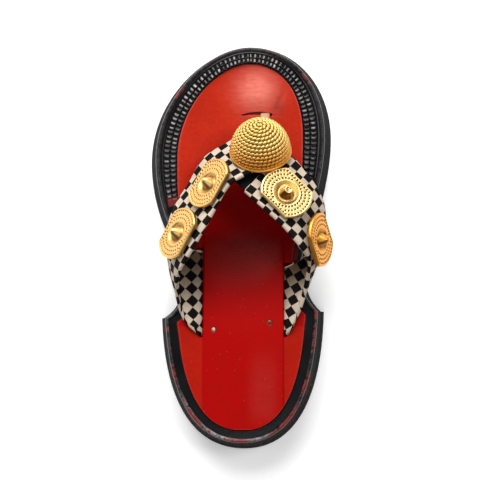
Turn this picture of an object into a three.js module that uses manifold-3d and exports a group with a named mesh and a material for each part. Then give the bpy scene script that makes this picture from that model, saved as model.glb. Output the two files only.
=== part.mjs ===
// Ahenema sandal for a left foot, in millimetres: +Y points to the toe, +X to the inner
// side of the foot and +Z up. It stands on the floor plane z = 0.
import * as THREE from 'three';
import { mergeVertices } from 'three/addons/utils/BufferGeometryUtils.js';
import Module from 'manifold-3d';

const wasm = await Module();
wasm.setup();

// Driving dimensions of the sole
const gap = 0.3; // clearance between pieces that meet on curved faces
const middle = { x: 0.33, y: -0.66 }; // middle of the plan as drawn, moved to the origin
const sampleStep = 6; // spacing of the points round the outline
const normalReach = 3; // neighbours on each side that the inward direction is taken over
const sideFlare = 5.6; // how far the edge leans out between its ridge and the floor
const edgeRound = 1.2; // softened lower edge of the sole and the heel
const foreTop = 20; // ridge of the border above the floor, at the ball
const heelTop = 28; // the same at the heel
const toeSpring = 6; // how far the toe is lifted
const springStart = 85; // where the toe begins to lift
const toeEnd = 147.5; // front end of the outline
const heelLift = 10; // height of the heel
const breast = { depth: 24, steps: 12 }; // hollow front face of the heel
const topRamp = { front: 26, rear: -76, soft: 0.2 }; // footbed sloping up to the heel
const archRamp = { front: 28, rear: -36, soft: 0.35 }; // underside rising into the arch

// Border and insole
const borderHeight = 4; // thickness of the black border
const insoleRise = 0.4; // red leather standing above the border's ridge
const insoleRound = 0.6; // softened edge of the red leather
const panelRaise = 1.2; // middle panel lifted by the strap ends under it
const panel = { left: -26.9, right: 31.2, front: 16, flat: -4, rear: -142, steps: 24 };
const lateralSlit = { left: -31.8, right: panel.left, front: -2.4, rear: -68.8 };
const medialSlit = { left: panel.right, right: 36.2, front: -14.2, rear: -68.8 };
const toeSlit = { left: -0.5, right: 23, y: 94.4, bulge: 2.4 };

// Straps and toe post
const strapThickness = 3.2;
const postThickness = 2.6;
const strapRows = 36; // sections along a strap
const postRows = 10;

// Gold work
const dome = { x: 15.4, y: 63.4, z: 47, lean: 40, radius: 21.3, height: 26, rings: 13, rope: 0.7 };
const domeRim = { radius: 22.2, height: 1.5 };
const roundSides = 36;
const plate = { radius: 19, halfWidth: 14.6, thickness: 3.4, bevel: 0.5 };
const coneSides = 20;
const nail = { radius: 1.7, height: 0.9, sides: 14 };

// Outline at the floor, a knot a row: curve handles before and after it, the width of the
// black border there, and whether the border is tooled (1) or plain (0)
const outlineKnots = [
  { at: 'toe', x: 7, y: 147.5, before: [34, 0], after: [-34, 0], border: 11, tooled: 1 },
  { at: 'lateral ball', x: -66.5, y: 62, before: [0, 47], after: [0, -38], border: 15, tooled: 1 },
  { at: 'lateral waist', x: -45.5, y: -22, before: [-4, 24], after: [0.5, -12], border: 5.5, tooled: 0 },
  { at: 'lateral ear', x: -58.3, y: -52.5, before: [13, 8.5], after: [1, -40], border: 8, tooled: 0 },
  { at: 'heel', x: 2, y: -147.5, before: [-48, 0], after: [45, 0], border: 8, tooled: 0 },
  { at: 'medial ear', x: 60.3, y: -48, before: [-1, -47], after: [-9, 8.5], border: 8, tooled: 0 },
  { at: 'medial waist', x: 48.8, y: -18, before: [0, -12], after: [0, 22], border: 5.5, tooled: 0 },
  { at: 'medial ball', x: 66, y: 78, before: [0, -36], after: [0, 41], border: 15, tooled: 1 },
];

// Border section from its outer foot over the ridge to its inner foot: a fixed distance in
// from the ridge, a share of the border's width, and heights where it is tooled and plain
const borderProfile = [
  { from: 0, share: 0, tooled: -0.5, plain: -0.5 },
  { from: 0.7, share: 0, tooled: 0, plain: 0 },
  { from: 1.7, share: 0, tooled: -0.9, plain: -0.6 },
  { from: 0, share: 0.32, tooled: -0.9, plain: -0.2 },
  { from: 0.5, share: 0.32, tooled: -0.1, plain: 0.1 },
  { from: -1, share: 1, tooled: -0.1, plain: 0.1 },
  { from: 0, share: 1, tooled: -0.7, plain: -0.5 },
];

// Straps as ruled bands, a section a row: front edge, rear edge, and how far the middle
// swells outwards; each runs from under the dome down into its slit
const lateralBand = [
  { front: [27, 80, 35.5], rear: [28, 55, 51.5], crown: 0 },
  { front: [14, 84, 30.5], rear: [21, 53, 54], crown: 0 },
  { front: [-9, 71.5, 33], rear: [6.7, 45.5, 60], crown: 0.5 },
  { front: [-25, 61.5, 31], rear: [-6, 39, 62], crown: 0.5 },
  { front: [-37, 42, 30], rear: [-19, 17.5, 62.5], crown: 0.5 },
  { front: [-46, 27.5, 30], rear: [-27, 3, 62.5], crown: 1 },
  { front: [-50, 17, 29.5], rear: [-34, -9.5, 61], crown: 1.5 },
  { front: [-51.5, 9, 28.5], rear: [-39.5, -19.5, 57.5], crown: 2 },
  { front: [-51, 4, 27.5], rear: [-43, -28, 48.5], crown: 2.5 },
  { front: [-49, 0, 26.3], rear: [-43.5, -36, 39.5], crown: 3 },
  { front: [-45.5, -2, 25.4], rear: [-42.6, -46, 33.4], crown: 1.5 },
  { front: [-39, -3.4, 24.8], rear: [-39.5, -56.5, 30.9], crown: -0.5 },
  { front: [-31.5, -4.4, 24.6], rear: [-32, -64, 30.4], crown: 0 },
  { front: [-28.85, -4.6, 22], rear: [-28.85, -66.5, 28], crown: 0 },
  { front: [-28.85, -4.6, 16.5], rear: [-28.85, -66.5, 22.5], crown: 0 },
];
const medialBand = [
  { front: [32, 65, 44.5], rear: [3.9, 33.5, 60], crown: 0 },
  { front: [41.3, 56.6, 45], rear: [13.1, 25.1, 62], crown: 0.5 },
  { front: [46.7, 49.4, 45.5], rear: [21, 18, 62.5], crown: 0.5 },
  { front: [54, 40, 43], rear: [29.5, 10, 62.5], crown: 1 },
  { front: [60, 26.5, 37], rear: [36, 3, 63], crown: 1.5 },
  { front: [60.5, 12.5, 31.3], rear: [40.5, -3, 62.5], crown: 2 },
  { front: [59.8, 4.5, 29.3], rear: [46, -9.5, 58], crown: 2 },
  { front: [58.5, 0.5, 28.3], rear: [49.5, -17, 46.5], crown: 2 },
  { front: [56, -3.5, 27.3], rear: [47.5, -27, 38], crown: 2.5 },
  { front: [52, -6.5, 26.6], rear: [45.3, -38, 33.5], crown: 2 },
  { front: [47, -9, 26], rear: [42.5, -49, 31.4], crown: 0.5 },
  { front: [41.5, -12, 25.5], rear: [39.5, -57, 30.6], crown: -0.5 },
  { front: [35.9, -15.6, 25.5], rear: [36.1, -63.5, 30.4], crown: 0 },
  { front: [33.2, -16.5, 23], rear: [33.2, -66.4, 28], crown: 0 },
  { front: [33.2, -16.5, 17.5], rear: [33.2, -66.4, 22.5], crown: 0 },
];
const toePost = [
  { front: [14.6, 96.6, 14], rear: [21.4, 96.6, 14], crown: 0 },
  { front: [14.6, 95.6, 20.5], rear: [21.4, 95.6, 20.5], crown: 0 },
  { front: [14.4, 90, 24.2], rear: [21.2, 90, 24.2], crown: 0 },
  { front: [14.2, 84, 27.2], rear: [20.8, 84, 27.2], crown: 0 },
  { front: [14, 77, 32], rear: [20.4, 77, 32], crown: 0 },
];

// Section of a strap: share of its width from the front edge, and side of its middle layer
const strapLoop = [
  { across: 0.03, side: 1 },
  { across: 0.27, side: 1 },
  { across: 0.5, side: 1 },
  { across: 0.73, side: 1 },
  { across: 0.97, side: 1 },
  { across: 1, side: 0 },
  { across: 0.97, side: -1 },
  { across: 0.73, side: -1 },
  { across: 0.5, side: -1 },
  { across: 0.27, side: -1 },
  { across: 0.03, side: -1 },
  { across: 0, side: 0 },
];

// Gold plates: place along the strap in rows and across it as a share from its front edge,
// degrees turned on it and pitched up at the end nearer the dome, height lifted clear of its
// curve, and the tip of the cone
const ornaments = [
  { at: 'lateral_front', row: 3.42, across: 0.58, turn: 0, pitch: 0, lift: 0.2, tip: 'pointed' },
  { at: 'lateral_rear', row: 5.8, across: 0.58, turn: 0, pitch: 0, lift: 0.3, tip: 'pointed' },
  { at: 'medial_front', row: 2.05, across: 0.5, turn: 0, pitch: 0, lift: 0, tip: 'tube' },
  { at: 'medial_rear', row: 5.42, across: 0.42, turn: -14, pitch: 7, lift: 0.4, tip: 'pointed' },
];

// Radius and height of the crater sunk in a plate, and of the cone that stands in it
const craterProfile = [[0, 1.5], [6.6, 1.5], [8.4, 3.4], [8.8, 4.4], [0, 4.4]];
const coneProfiles = {
  pointed: [[0, 1.2], [6.2, 1.2], [5.7, 2], [4.6, 3.2], [2.9, 6.4], [1.2, 8.5], [0, 8.9]],
  tube: [[0, 1.2], [6.2, 1.2], [5.7, 2], [4.4, 3.4], [3.3, 6.4], [3.1, 8], [2.4, 8.6], [1.6, 8.4],
    [1.3, 7], [0, 6.8]],
};

// Nail heads on the middle panel
const nails = [
  { name: 'nail_lateral', x: -18.8, y: -62.1 },
  { name: 'nail_medial', x: 21.3, y: -57.1 },
];

const leather = new THREE.MeshStandardMaterial({ color: 0xc0281a, roughness: 0.5 });
const blackLeather = new THREE.MeshStandardMaterial({ color: 0x18171a, roughness: 0.4 });
const checkCloth = new THREE.MeshStandardMaterial({ color: 0x8a8074, roughness: 0.9 });
const tanLeather = new THREE.MeshStandardMaterial({ color: 0xd0a07c, roughness: 0.6 });
const gold = new THREE.MeshStandardMaterial({ color: 0xd8a646, roughness: 0.35, metalness: 1 });
const iron = new THREE.MeshStandardMaterial({ color: 0x6f665e, roughness: 0.4, metalness: 1 });

// A rise from 0 to 1 that is straight in the middle and soft at both ends
function softRamp(share, soft) {
  const s = THREE.MathUtils.clamp(share, 0, 1);
  const bend = 2 * soft * (1 - soft);
  if (s < soft) return s * s / bend;
  if (s > 1 - soft) return 1 - (1 - s) * (1 - s) / bend;
  return (s - soft / 2) / (1 - soft);
}

function rampAt(ramp, y) {
  return softRamp((ramp.front - y) / (ramp.front - ramp.rear), ramp.soft);
}

function toeLift(y) {
  const share = Math.max(0, (y - springStart) / (toeEnd - springStart));
  return toeSpring * share * share;
}

// Level of the border's ridge, of the sole's underside, and of the red leather
function topLevel(y) {
  return foreTop + (heelTop - foreTop) * rampAt(topRamp, y) + toeLift(y);
}

function underLevel(y) {
  return heelLift * rampAt(archRamp, y) + toeLift(y);
}

function insoleLevel(y) {
  return topLevel(y) + insoleRise;
}

// Points round the outline, counterclockwise from the toe, each with its inward direction
function sampleOutline() {
  const points = [];
  outlineKnots.forEach((knot, i) => {
    const next = outlineKnots[(i + 1) % outlineKnots.length];
    const curve = new THREE.CubicBezierCurve(
      new THREE.Vector2(knot.x, knot.y),
      new THREE.Vector2(knot.x + knot.after[0], knot.y + knot.after[1]),
      new THREE.Vector2(next.x + next.before[0], next.y + next.before[1]),
      new THREE.Vector2(next.x, next.y),
    );
    const count = Math.round(curve.getLength() / sampleStep);
    for (let k = 0; k < count; k += 1) {
      const share = THREE.MathUtils.smoothstep(k / count, 0, 1);
      points.push({
        place: curve.getPointAt(k / count),
        border: THREE.MathUtils.lerp(knot.border, next.border, share),
        tooled: THREE.MathUtils.lerp(knot.tooled, next.tooled, share),
        ear: k === 0 && knot.at.endsWith('ear'),
      });
    }
  });
  points.forEach((point, i) => {
    const after = points[(i + normalReach) % points.length].place;
    const before = points[(i - normalReach + points.length) % points.length].place;
    const along = after.clone().sub(before).normalize();
    point.inward = new THREE.Vector2(-along.y, along.x);
  });
  return points;
}

const outline = sampleOutline();

// How far the bevelled side has come in from the outline at a height above the floor
function flareInset(edge, z) {
  return sideFlare * z / topLevel(edge.place.y);
}

// A closed ring of points a given way in from the outline, each at a level of its own
function ringOf(edges, inset, level) {
  return edges.map((edge) => {
    const point = edge.place.clone().addScaledVector(edge.inward, inset(edge));
    return new THREE.Vector3(point.x, point.y, level(point.y, edge));
  });
}

// Geometry from points and triangles, with its faces turned outwards
function closedGeometry(points, triangles) {
  let volume = 0;
  for (let i = 0; i < triangles.length; i += 3) {
    const [a, b, c] = [points[triangles[i]], points[triangles[i + 1]], points[triangles[i + 2]]];
    volume += a.dot(b.clone().cross(c));
  }
  const index = volume < 0 ? triangles.slice().reverse() : triangles;
  const geometry = new THREE.BufferGeometry();
  const positions = points.flatMap((point) => point.toArray());
  geometry.setAttribute('position', new THREE.Float32BufferAttribute(positions, 3));
  geometry.setIndex(index);
  geometry.computeVertexNormals();
  return geometry;
}

// Triangles between neighbouring rings of one length, and from the last ring back to the
// first where the section is closed
function skinTriangles(ringCount, length, closed) {
  const triangles = [];
  const spans = closed ? ringCount : ringCount - 1;
  for (let r = 0; r < spans; r += 1) {
    for (let i = 0; i < length; i += 1) {
      const next = (i + 1) % length;
      const a = r * length + i;
      const b = r * length + next;
      const c = ((r + 1) % ringCount) * length + next;
      const d = ((r + 1) % ringCount) * length + i;
      triangles.push(a, b, c, a, c, d);
    }
  }
  return triangles;
}

// Cap of a ring whose two sides both run from its front point to its rear point, in strips
// from side to side, so that it follows the level along the foot
function capTriangles(ring, first, up) {
  const length = ring.length;
  let front = 0;
  let rear = 0;
  ring.forEach((point, i) => {
    if (point.y > ring[front].y) front = i;
    if (point.y < ring[rear].y) rear = i;
  });
  const left = [];
  for (let i = front; i !== rear; i = (i + 1) % length) left.push(i);
  left.push(rear);
  const right = [];
  for (let i = front; i !== rear; i = (i - 1 + length) % length) right.push(i);
  right.push(rear);
  const triangles = [];
  const add = (a, b, c) => {
    if (a === b || b === c || a === c) return;
    if (up) triangles.push(first + a, first + b, first + c);
    else triangles.push(first + a, first + c, first + b);
  };
  let i = 0;
  let j = 0;
  while (i < left.length - 1 || j < right.length - 1) {
    const leftNext = i < left.length - 1 ? ring[left[i + 1]].y : -Infinity;
    const rightNext = j < right.length - 1 ? ring[right[j + 1]].y : -Infinity;
    if (leftNext >= rightNext) {
      add(left[i], left[i + 1], right[j]);
      i += 1;
    } else {
      add(left[i], right[j + 1], right[j]);
      j += 1;
    }
  }
  return triangles;
}

// Solid between a stack of rings, closed at the lowest and the highest
function slab(rings) {
  const length = rings[0].length;
  const triangles = [
    ...capTriangles(rings[0], 0, false),
    ...skinTriangles(rings.length, length, false),
    ...capTriangles(rings[rings.length - 1], (rings.length - 1) * length, true),
  ];
  return closedGeometry(rings.flat(), triangles);
}

// A geometry with only its positions, its shared corners merged and slivers dropped
function welded(geometry) {
  const bare = geometry.clone();
  bare.deleteAttribute('normal');
  bare.deleteAttribute('uv');
  const merged = mergeVertices(bare, 1e-4);
  const index = [];
  for (let i = 0; i < merged.index.count; i += 3) {
    const [a, b, c] = [0, 1, 2].map((k) => merged.index.getX(i + k));
    if (a !== b && b !== c && a !== c) index.push(a, b, c);
  }
  merged.setIndex(index);
  merged.computeVertexNormals();
  return merged;
}

function toSolid(geometry) {
  const clean = welded(geometry);
  const mesh = new wasm.Mesh({
    numProp: 3,
    vertProperties: new Float32Array(clean.attributes.position.array),
    triVerts: new Uint32Array(clean.index.array),
  });
  return new wasm.Manifold(mesh);
}

function toGeometry(solid) {
  const mesh = solid.getMesh();
  const geometry = new THREE.BufferGeometry();
  const positions = new Float32Array(mesh.vertProperties);
  geometry.setAttribute('position', new THREE.BufferAttribute(positions, 3));
  geometry.setIndex(new THREE.BufferAttribute(new Uint32Array(mesh.triVerts), 1));
  geometry.computeVertexNormals();
  return geometry;
}

// Sole: bevelled sides from the underside up to the border's seat
function makeSole() {
  const seat = (y) => topLevel(y) - borderHeight;
  const tread = (y) => underLevel(y) + edgeRound;
  return slab([
    ringOf(outline, (e) => flareInset(e, underLevel(e.place.y)) + edgeRound, underLevel),
    ringOf(outline, (e) => flareInset(e, tread(e.place.y)), tread),
    ringOf(outline, (e) => flareInset(e, seat(e.place.y)), seat),
  ]);
}

// Heel: the outline behind the two ears, closed by a hollow breast line between them
function makeHeel() {
  const ears = outline.flatMap((edge, i) => (edge.ear ? [i] : []));
  const edges = outline.slice(ears[0], ears[1] + 1);
  const breastLine = new THREE.QuadraticBezierCurve(
    outline[ears[1]].place,
    new THREE.Vector2(0, outline[ears[0]].place.y - breast.depth),
    outline[ears[0]].place,
  );
  const inward = new THREE.Vector2(0, -1);
  for (let k = 1; k < breast.steps; k += 1) {
    edges.push({ place: breastLine.getPoint(k / breast.steps), inward });
  }
  const side = (z, round) => ringOf(edges, (e) => flareInset(e, z) + round, () => z);
  const rings = [side(0, edgeRound), side(edgeRound, 0), side(heelLift, 0)];
  const triangles = skinTriangles(rings.length, edges.length, false);
  [0, rings.length - 1].forEach((r) => {
    const flat = rings[r].map((p) => new THREE.Vector2(p.x, p.y));
    THREE.ShapeUtils.triangulateShape(flat, []).forEach(([a, b, c]) => {
      const start = r * edges.length;
      if (r === 0) triangles.push(start + a, start + c, start + b);
      else triangles.push(start + a, start + b, start + c);
    });
  });
  return closedGeometry(rings.flat(), triangles);
}

// Border: its section carried round the sole, blended from tooled to plain
function makeWelt() {
  const foot = (y) => topLevel(y) - borderHeight + gap;
  const rings = [ringOf(outline, (e) => flareInset(e, foot(e.place.y)), foot)];
  borderProfile.forEach((row) => {
    rings.push(ringOf(
      outline,
      (e) => sideFlare + row.from + row.share * e.border,
      (y, e) => topLevel(y) + THREE.MathUtils.lerp(row.plain, row.tooled, e.tooled),
    ));
  });
  rings.push(ringOf(outline, (e) => sideFlare + e.border, foot));
  return closedGeometry(rings.flat(), skinTriangles(rings.length, outline.length, true));
}

// Slab inside the border, from the sole's seat up to a height above the ridge
function insoleSlab(rise, round) {
  const inset = (e) => sideFlare + e.border + gap;
  return slab([
    ringOf(outline, inset, (y) => topLevel(y) - borderHeight + gap),
    ringOf(outline, inset, (y) => topLevel(y) + rise - round),
    ringOf(outline, (e) => inset(e) + round, (y) => topLevel(y) + rise),
  ]);
}

// Long block under the raised middle panel, sloping up from the forefoot
function panelBlock() {
  const rings = [];
  for (let k = 0; k <= panel.steps; k += 1) {
    const y = THREE.MathUtils.lerp(panel.front, panel.rear, k / panel.steps);
    const lift = panelRaise * THREE.MathUtils.smoothstep(panel.front - y, 0, panel.front - panel.flat);
    const low = topLevel(y) - borderHeight / 2;
    const high = insoleLevel(y) + lift;
    rings.push([
      new THREE.Vector3(panel.left, y, low),
      new THREE.Vector3(panel.right, y, low),
      new THREE.Vector3(panel.right, y, high),
      new THREE.Vector3(panel.left, y, high),
    ]);
  }
  const last = panel.steps * 4;
  const triangles = [
    ...skinTriangles(rings.length, 4, false),
    0, 2, 1, 0, 3, 2,
    last, last + 1, last + 2, last, last + 2, last + 3,
  ];
  return closedGeometry(rings.flat(), triangles);
}

function slitCutter(slit) {
  const box = new THREE.BoxGeometry(slit.right - slit.left, slit.front - slit.rear, heelTop);
  return box.translate((slit.left + slit.right) / 2, (slit.front + slit.rear) / 2, heelTop);
}

function toeSlitCutter() {
  const lens = new THREE.Shape();
  lens.moveTo(toeSlit.left, toeSlit.y);
  lens.lineTo(toeSlit.right, toeSlit.y);
  const bend = new THREE.Vector2((toeSlit.left + toeSlit.right) / 2, toeSlit.y + 2 * toeSlit.bulge);
  lens.quadraticCurveTo(bend.x, bend.y, toeSlit.left, toeSlit.y);
  return new THREE.ExtrudeGeometry(lens, { depth: heelTop, bevelEnabled: false, curveSegments: 10 });
}

// Insole: red sheet with its raised panel, slit for the straps and the toe post
function makeInsole() {
  const raised = toSolid(insoleSlab(insoleRise + panelRaise + gap, gap)).intersect(toSolid(panelBlock()));
  return toGeometry(toSolid(insoleSlab(insoleRise, insoleRound))
    .add(raised)
    .subtract(toSolid(slitCutter(lateralSlit)))
    .subtract(toSolid(slitCutter(medialSlit)))
    .subtract(toSolid(toeSlitCutter()))
    .subtract(toSolid(bandGeometry(toePost, postThickness + 2 * gap, postRows))));
}

// Smooth edges of a band, and the point of its middle layer at a share along and across
function bandSurface(rows) {
  const front = new THREE.CatmullRomCurve3(rows.map((row) => new THREE.Vector3(...row.front)));
  const rear = new THREE.CatmullRomCurve3(rows.map((row) => new THREE.Vector3(...row.rear)));
  const last = rows.length - 1;
  const crownAt = (along) => {
    const i = Math.min(Math.floor(along * last), last - 1);
    return THREE.MathUtils.lerp(rows[i].crown, rows[i + 1].crown, along * last - i);
  };
  const ruled = (along, across) => front.getPoint(along).lerp(rear.getPoint(along), across);
  const step = 1e-3;
  const slope = (point, along, across) => {
    const ahead = Math.min(along + step, 1);
    const behind = Math.max(along - step, 0);
    const alongBand = point(ahead, across).sub(point(behind, across)).normalize();
    const acrossBand = point(along, across + step).sub(point(along, across - step)).normalize();
    return { alongBand, acrossBand };
  };
  const outwardOf = ({ alongBand, acrossBand }) => {
    const outward = alongBand.clone().cross(acrossBand).normalize();
    return rows === medialBand ? outward.negate() : outward;
  };
  const point = (along, across) => {
    const swell = crownAt(along) * 4 * across * (1 - across);
    return ruled(along, across).addScaledVector(outwardOf(slope(ruled, along, 0.5)), swell);
  };
  const frame = (along, across) => {
    const directions = slope(point, along, across);
    return { ...directions, outward: outwardOf(directions), place: point(along, across) };
  };
  return { frame };
}

// Closed solid of a band with a given thickness
function bandGeometry(rows, thickness, count) {
  const surface = bandSurface(rows);
  const points = [];
  for (let k = 0; k <= count; k += 1) {
    strapLoop.forEach(({ across, side }) => {
      const { place, outward } = surface.frame(k / count, across);
      points.push(place.addScaledVector(outward, side * thickness / 2));
    });
  }
  const length = strapLoop.length;
  const triangles = skinTriangles(count + 1, length, false);
  const half = length / 2 - 1;
  [0, count * length].forEach((first) => {
    const flip = first === 0;
    const add = (a, b, c) => triangles.push(first + a, first + (flip ? c : b), first + (flip ? b : c));
    for (let k = 0; k < half - 1; k += 1) {
      add(k, k + 1, length - 3 - k);
      add(k, length - 3 - k, length - 2 - k);
    }
    add(half - 1, half, half + 1);
    add(length - 1, 0, length - 2);
  });
  return closedGeometry(points, triangles);
}

// Turn and place of the dome, which leans towards the toe
function domeMatrix() {
  const axis = new THREE.Vector3(0, 1, 0).applyAxisAngle(
    new THREE.Vector3(1, 0, 0),
    THREE.MathUtils.degToRad(90 - dome.lean),
  );
  const turn = new THREE.Quaternion().setFromUnitVectors(new THREE.Vector3(0, 1, 0), axis);
  const place = new THREE.Vector3(dome.x, dome.y, dome.z);
  return new THREE.Matrix4().compose(place, turn, new THREE.Vector3(1, 1, 1));
}

// Everything from the floor up to just above the sole, which the strap ends stop at
function soleBlock() {
  return slab([
    ringOf(outline, () => sideFlare, () => 0),
    ringOf(outline, () => sideFlare, (y) => topLevel(y) - borderHeight + gap),
  ]);
}

// Straps: both bands joined, trimmed flat under the dome and at the sole
function makeStraps() {
  const reach = domeRim.radius + gap;
  const seat = new THREE.CylinderGeometry(reach, reach, dome.height, roundSides);
  seat.translate(0, dome.height / 2 - gap, 0).applyMatrix4(domeMatrix());
  return toGeometry(toSolid(bandGeometry(lateralBand, strapThickness, strapRows))
    .add(toSolid(bandGeometry(medialBand, strapThickness, strapRows)))
    .subtract(toSolid(seat))
    .subtract(toSolid(soleBlock())));
}

// Toe post: narrow thong from the sole's seat up under the joined straps
function makeToePost() {
  return toGeometry(toSolid(bandGeometry(toePost, postThickness, postRows))
    .subtract(toSolid(soleBlock()))
    .subtract(toSolid(bandGeometry(lateralBand, strapThickness + 2 * gap, strapRows))));
}

// Dome: rings of rope stacked into a beehive on a plain rim
function makeDome() {
  const profile = [
    new THREE.Vector2(0, 0),
    new THREE.Vector2(domeRim.radius, 0),
    new THREE.Vector2(domeRim.radius, domeRim.height),
  ];
  const height = dome.height - domeRim.height;
  for (let k = 0; k < 2 * dome.rings; k += 1) {
    const angle = (k / (2 * dome.rings)) * Math.PI / 2;
    const rope = k % 2 === 1 ? dome.rope : 0;
    profile.push(new THREE.Vector2(
      (dome.radius + rope - dome.rope) * Math.cos(angle),
      domeRim.height + (height + rope - dome.rope) * Math.sin(angle),
    ));
  }
  profile.push(new THREE.Vector2(0, dome.height));
  return welded(new THREE.LatheGeometry(profile, roundSides).applyMatrix4(domeMatrix()));
}

// Gold plate: a disc with two straight sides, a crater and a cone, seated on its strap
function makeOrnament({ at, row, across, turn, pitch, lift, tip }) {
  const corner = Math.asin(plate.halfWidth / plate.radius);
  const outlineShape = new THREE.Shape();
  outlineShape.absarc(0, 0, plate.radius, -corner, corner, false);
  outlineShape.absarc(0, 0, plate.radius, Math.PI - corner, Math.PI + corner, false);
  const disc = new THREE.ExtrudeGeometry(outlineShape, {
    depth: plate.thickness - 2 * plate.bevel,
    bevelThickness: plate.bevel,
    bevelSize: plate.bevel,
    bevelOffset: -plate.bevel,
    bevelSegments: 1,
    curveSegments: 10,
  });
  const lathe = (profile) => new THREE.LatheGeometry(
    profile.map(([radius, height]) => new THREE.Vector2(radius, height)),
    coneSides,
  ).rotateX(Math.PI / 2);
  const band = at.startsWith('lateral') ? lateralBand : medialBand;
  const { place, alongBand, outward } = bandSurface(band).frame(row / (band.length - 1), across);
  place.addScaledVector(outward, strapThickness / 2 + gap + lift);
  alongBand.applyAxisAngle(outward, THREE.MathUtils.degToRad(turn));
  const wide = outward.clone().cross(alongBand).normalize();
  outward.applyAxisAngle(wide, THREE.MathUtils.degToRad(pitch));
  const matrix = new THREE.Matrix4().makeBasis(wide.clone().cross(outward), wide, outward);
  matrix.setPosition(place);
  const seated = (geometry) => toSolid(geometry.applyMatrix4(matrix));
  return toGeometry(seated(disc.translate(0, 0, plate.bevel))
    .subtract(seated(lathe(craterProfile)))
    .add(seated(lathe(coneProfiles[tip]))));
}

// Nail head: a low round cap on the middle panel
function makeNail({ x, y }) {
  const level = insoleLevel(y) + panelRaise + gap / 2;
  const profile = [[0, 0], [1, 0], [0.8, 0.6], [0, 1]].map(
    ([radius, height]) => new THREE.Vector2(radius * nail.radius, height * nail.height),
  );
  const head = new THREE.LatheGeometry(profile, nail.sides).rotateX(Math.PI / 2);
  return welded(head.translate(x, y, level));
}

const sandal = new THREE.Group();

function addPiece(name, geometry, material) {
  const mesh = new THREE.Mesh(geometry.translate(-middle.x, -middle.y, 0), material);
  mesh.name = name;
  sandal.add(mesh);
}

addPiece('sole', makeSole(), blackLeather);
addPiece('heel', makeHeel(), blackLeather);
addPiece('welt', makeWelt(), blackLeather);
addPiece('insole', makeInsole(), leather);
addPiece('straps', makeStraps(), checkCloth);
addPiece('toe_post', makeToePost(), tanLeather);
addPiece('dome', makeDome(), gold);
ornaments.forEach((row) => addPiece('ornament_' + row.at, makeOrnament(row), gold));
nails.forEach((row) => addPiece(row.name, makeNail(row), iron));

export default sandal;
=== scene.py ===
import math
from functools import partial

import bpy
import numpy as np
from mathutils import Matrix, Vector


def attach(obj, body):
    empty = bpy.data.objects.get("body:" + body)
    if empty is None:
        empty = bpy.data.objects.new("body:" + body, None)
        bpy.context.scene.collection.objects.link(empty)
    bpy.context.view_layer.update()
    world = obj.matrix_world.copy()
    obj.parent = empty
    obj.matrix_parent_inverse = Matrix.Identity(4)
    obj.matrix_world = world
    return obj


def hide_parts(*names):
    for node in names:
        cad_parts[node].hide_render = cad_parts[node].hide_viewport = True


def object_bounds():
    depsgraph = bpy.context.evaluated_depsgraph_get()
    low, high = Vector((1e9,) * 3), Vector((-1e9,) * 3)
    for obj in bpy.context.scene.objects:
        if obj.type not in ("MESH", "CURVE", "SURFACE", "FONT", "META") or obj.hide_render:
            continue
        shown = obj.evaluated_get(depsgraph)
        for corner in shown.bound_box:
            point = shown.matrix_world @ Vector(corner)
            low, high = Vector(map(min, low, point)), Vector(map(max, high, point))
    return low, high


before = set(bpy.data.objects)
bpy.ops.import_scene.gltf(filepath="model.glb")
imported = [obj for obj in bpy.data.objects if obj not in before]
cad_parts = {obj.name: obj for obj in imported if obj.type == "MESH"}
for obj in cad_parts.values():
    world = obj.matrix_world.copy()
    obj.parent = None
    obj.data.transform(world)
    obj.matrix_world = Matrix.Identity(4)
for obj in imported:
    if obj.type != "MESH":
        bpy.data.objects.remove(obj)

cad_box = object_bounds()

# Sizes in millimetres, drawn as in the solids: +Y to the toe, +X to the inner side of the foot,
# +Z up. The drawing's middle is moved to the frame's origin.
MM = 0.001
MIDDLE = (0.33, -0.66)
GAP = 0.3  # between pieces that meet

# Sole and heel: a ramp has a front, a rear and the share of it that is rounded
SOLE_STEP = 1.5
SIDE_FLARE = 5.6
EDGE_ROUND = 1.2
ROUND_ANGLES = np.radians([0, 22.5, 45, 67.5, 90])
SIDE_SHARES = (0.12, 0.3, 0.5, 0.7, 0.88, 1)
FORE_TOP, HEEL_TOP = 20.0, 28.0
TOE_SPRING, SPRING_START, TOE_END = 6.0, 85.0, 147.5
TOP_RAMP = (26.0, -76.0, 0.2)
ARCH_RAMP = (28.0, -36.0, 0.35)
HEEL_LIFT = 10.0
HEEL_SIDE = [(2.5, 0), (5, 0), (7.5, 0), (9.5, 0), (HEEL_LIFT, 0.35)]  # height and how far it is set in
BREAST_DEPTH, BREAST_STEPS = 24.0, 41

# Outline at the floor: name, place, curve handles before and after, border width, tooled or plain
NORMAL_SPAN = 18.0
OUTLINE_KNOTS = [
    ("toe", (7, 147.5), (34, 0), (-34, 0), 11, 1),
    ("lateral ball", (-66.5, 62), (0, 47), (0, -38), 15, 1),
    ("lateral waist", (-45.5, -22), (-4, 24), (0.5, -12), 5.5, 0),
    ("lateral ear", (-58.3, -52.5), (13, 8.5), (1, -40), 8, 0),
    ("heel", (2, -147.5), (-48, 0), (45, 0), 8, 0),
    ("medial ear", (60.3, -48), (-1, -47), (-9, 8.5), 8, 0),
    ("medial waist", (48.8, -18), (0, -12), (0, 22), 5.5, 0),
    ("medial ball", (66, 78), (0, -36), (0, 41), 15, 1),
]

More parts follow.
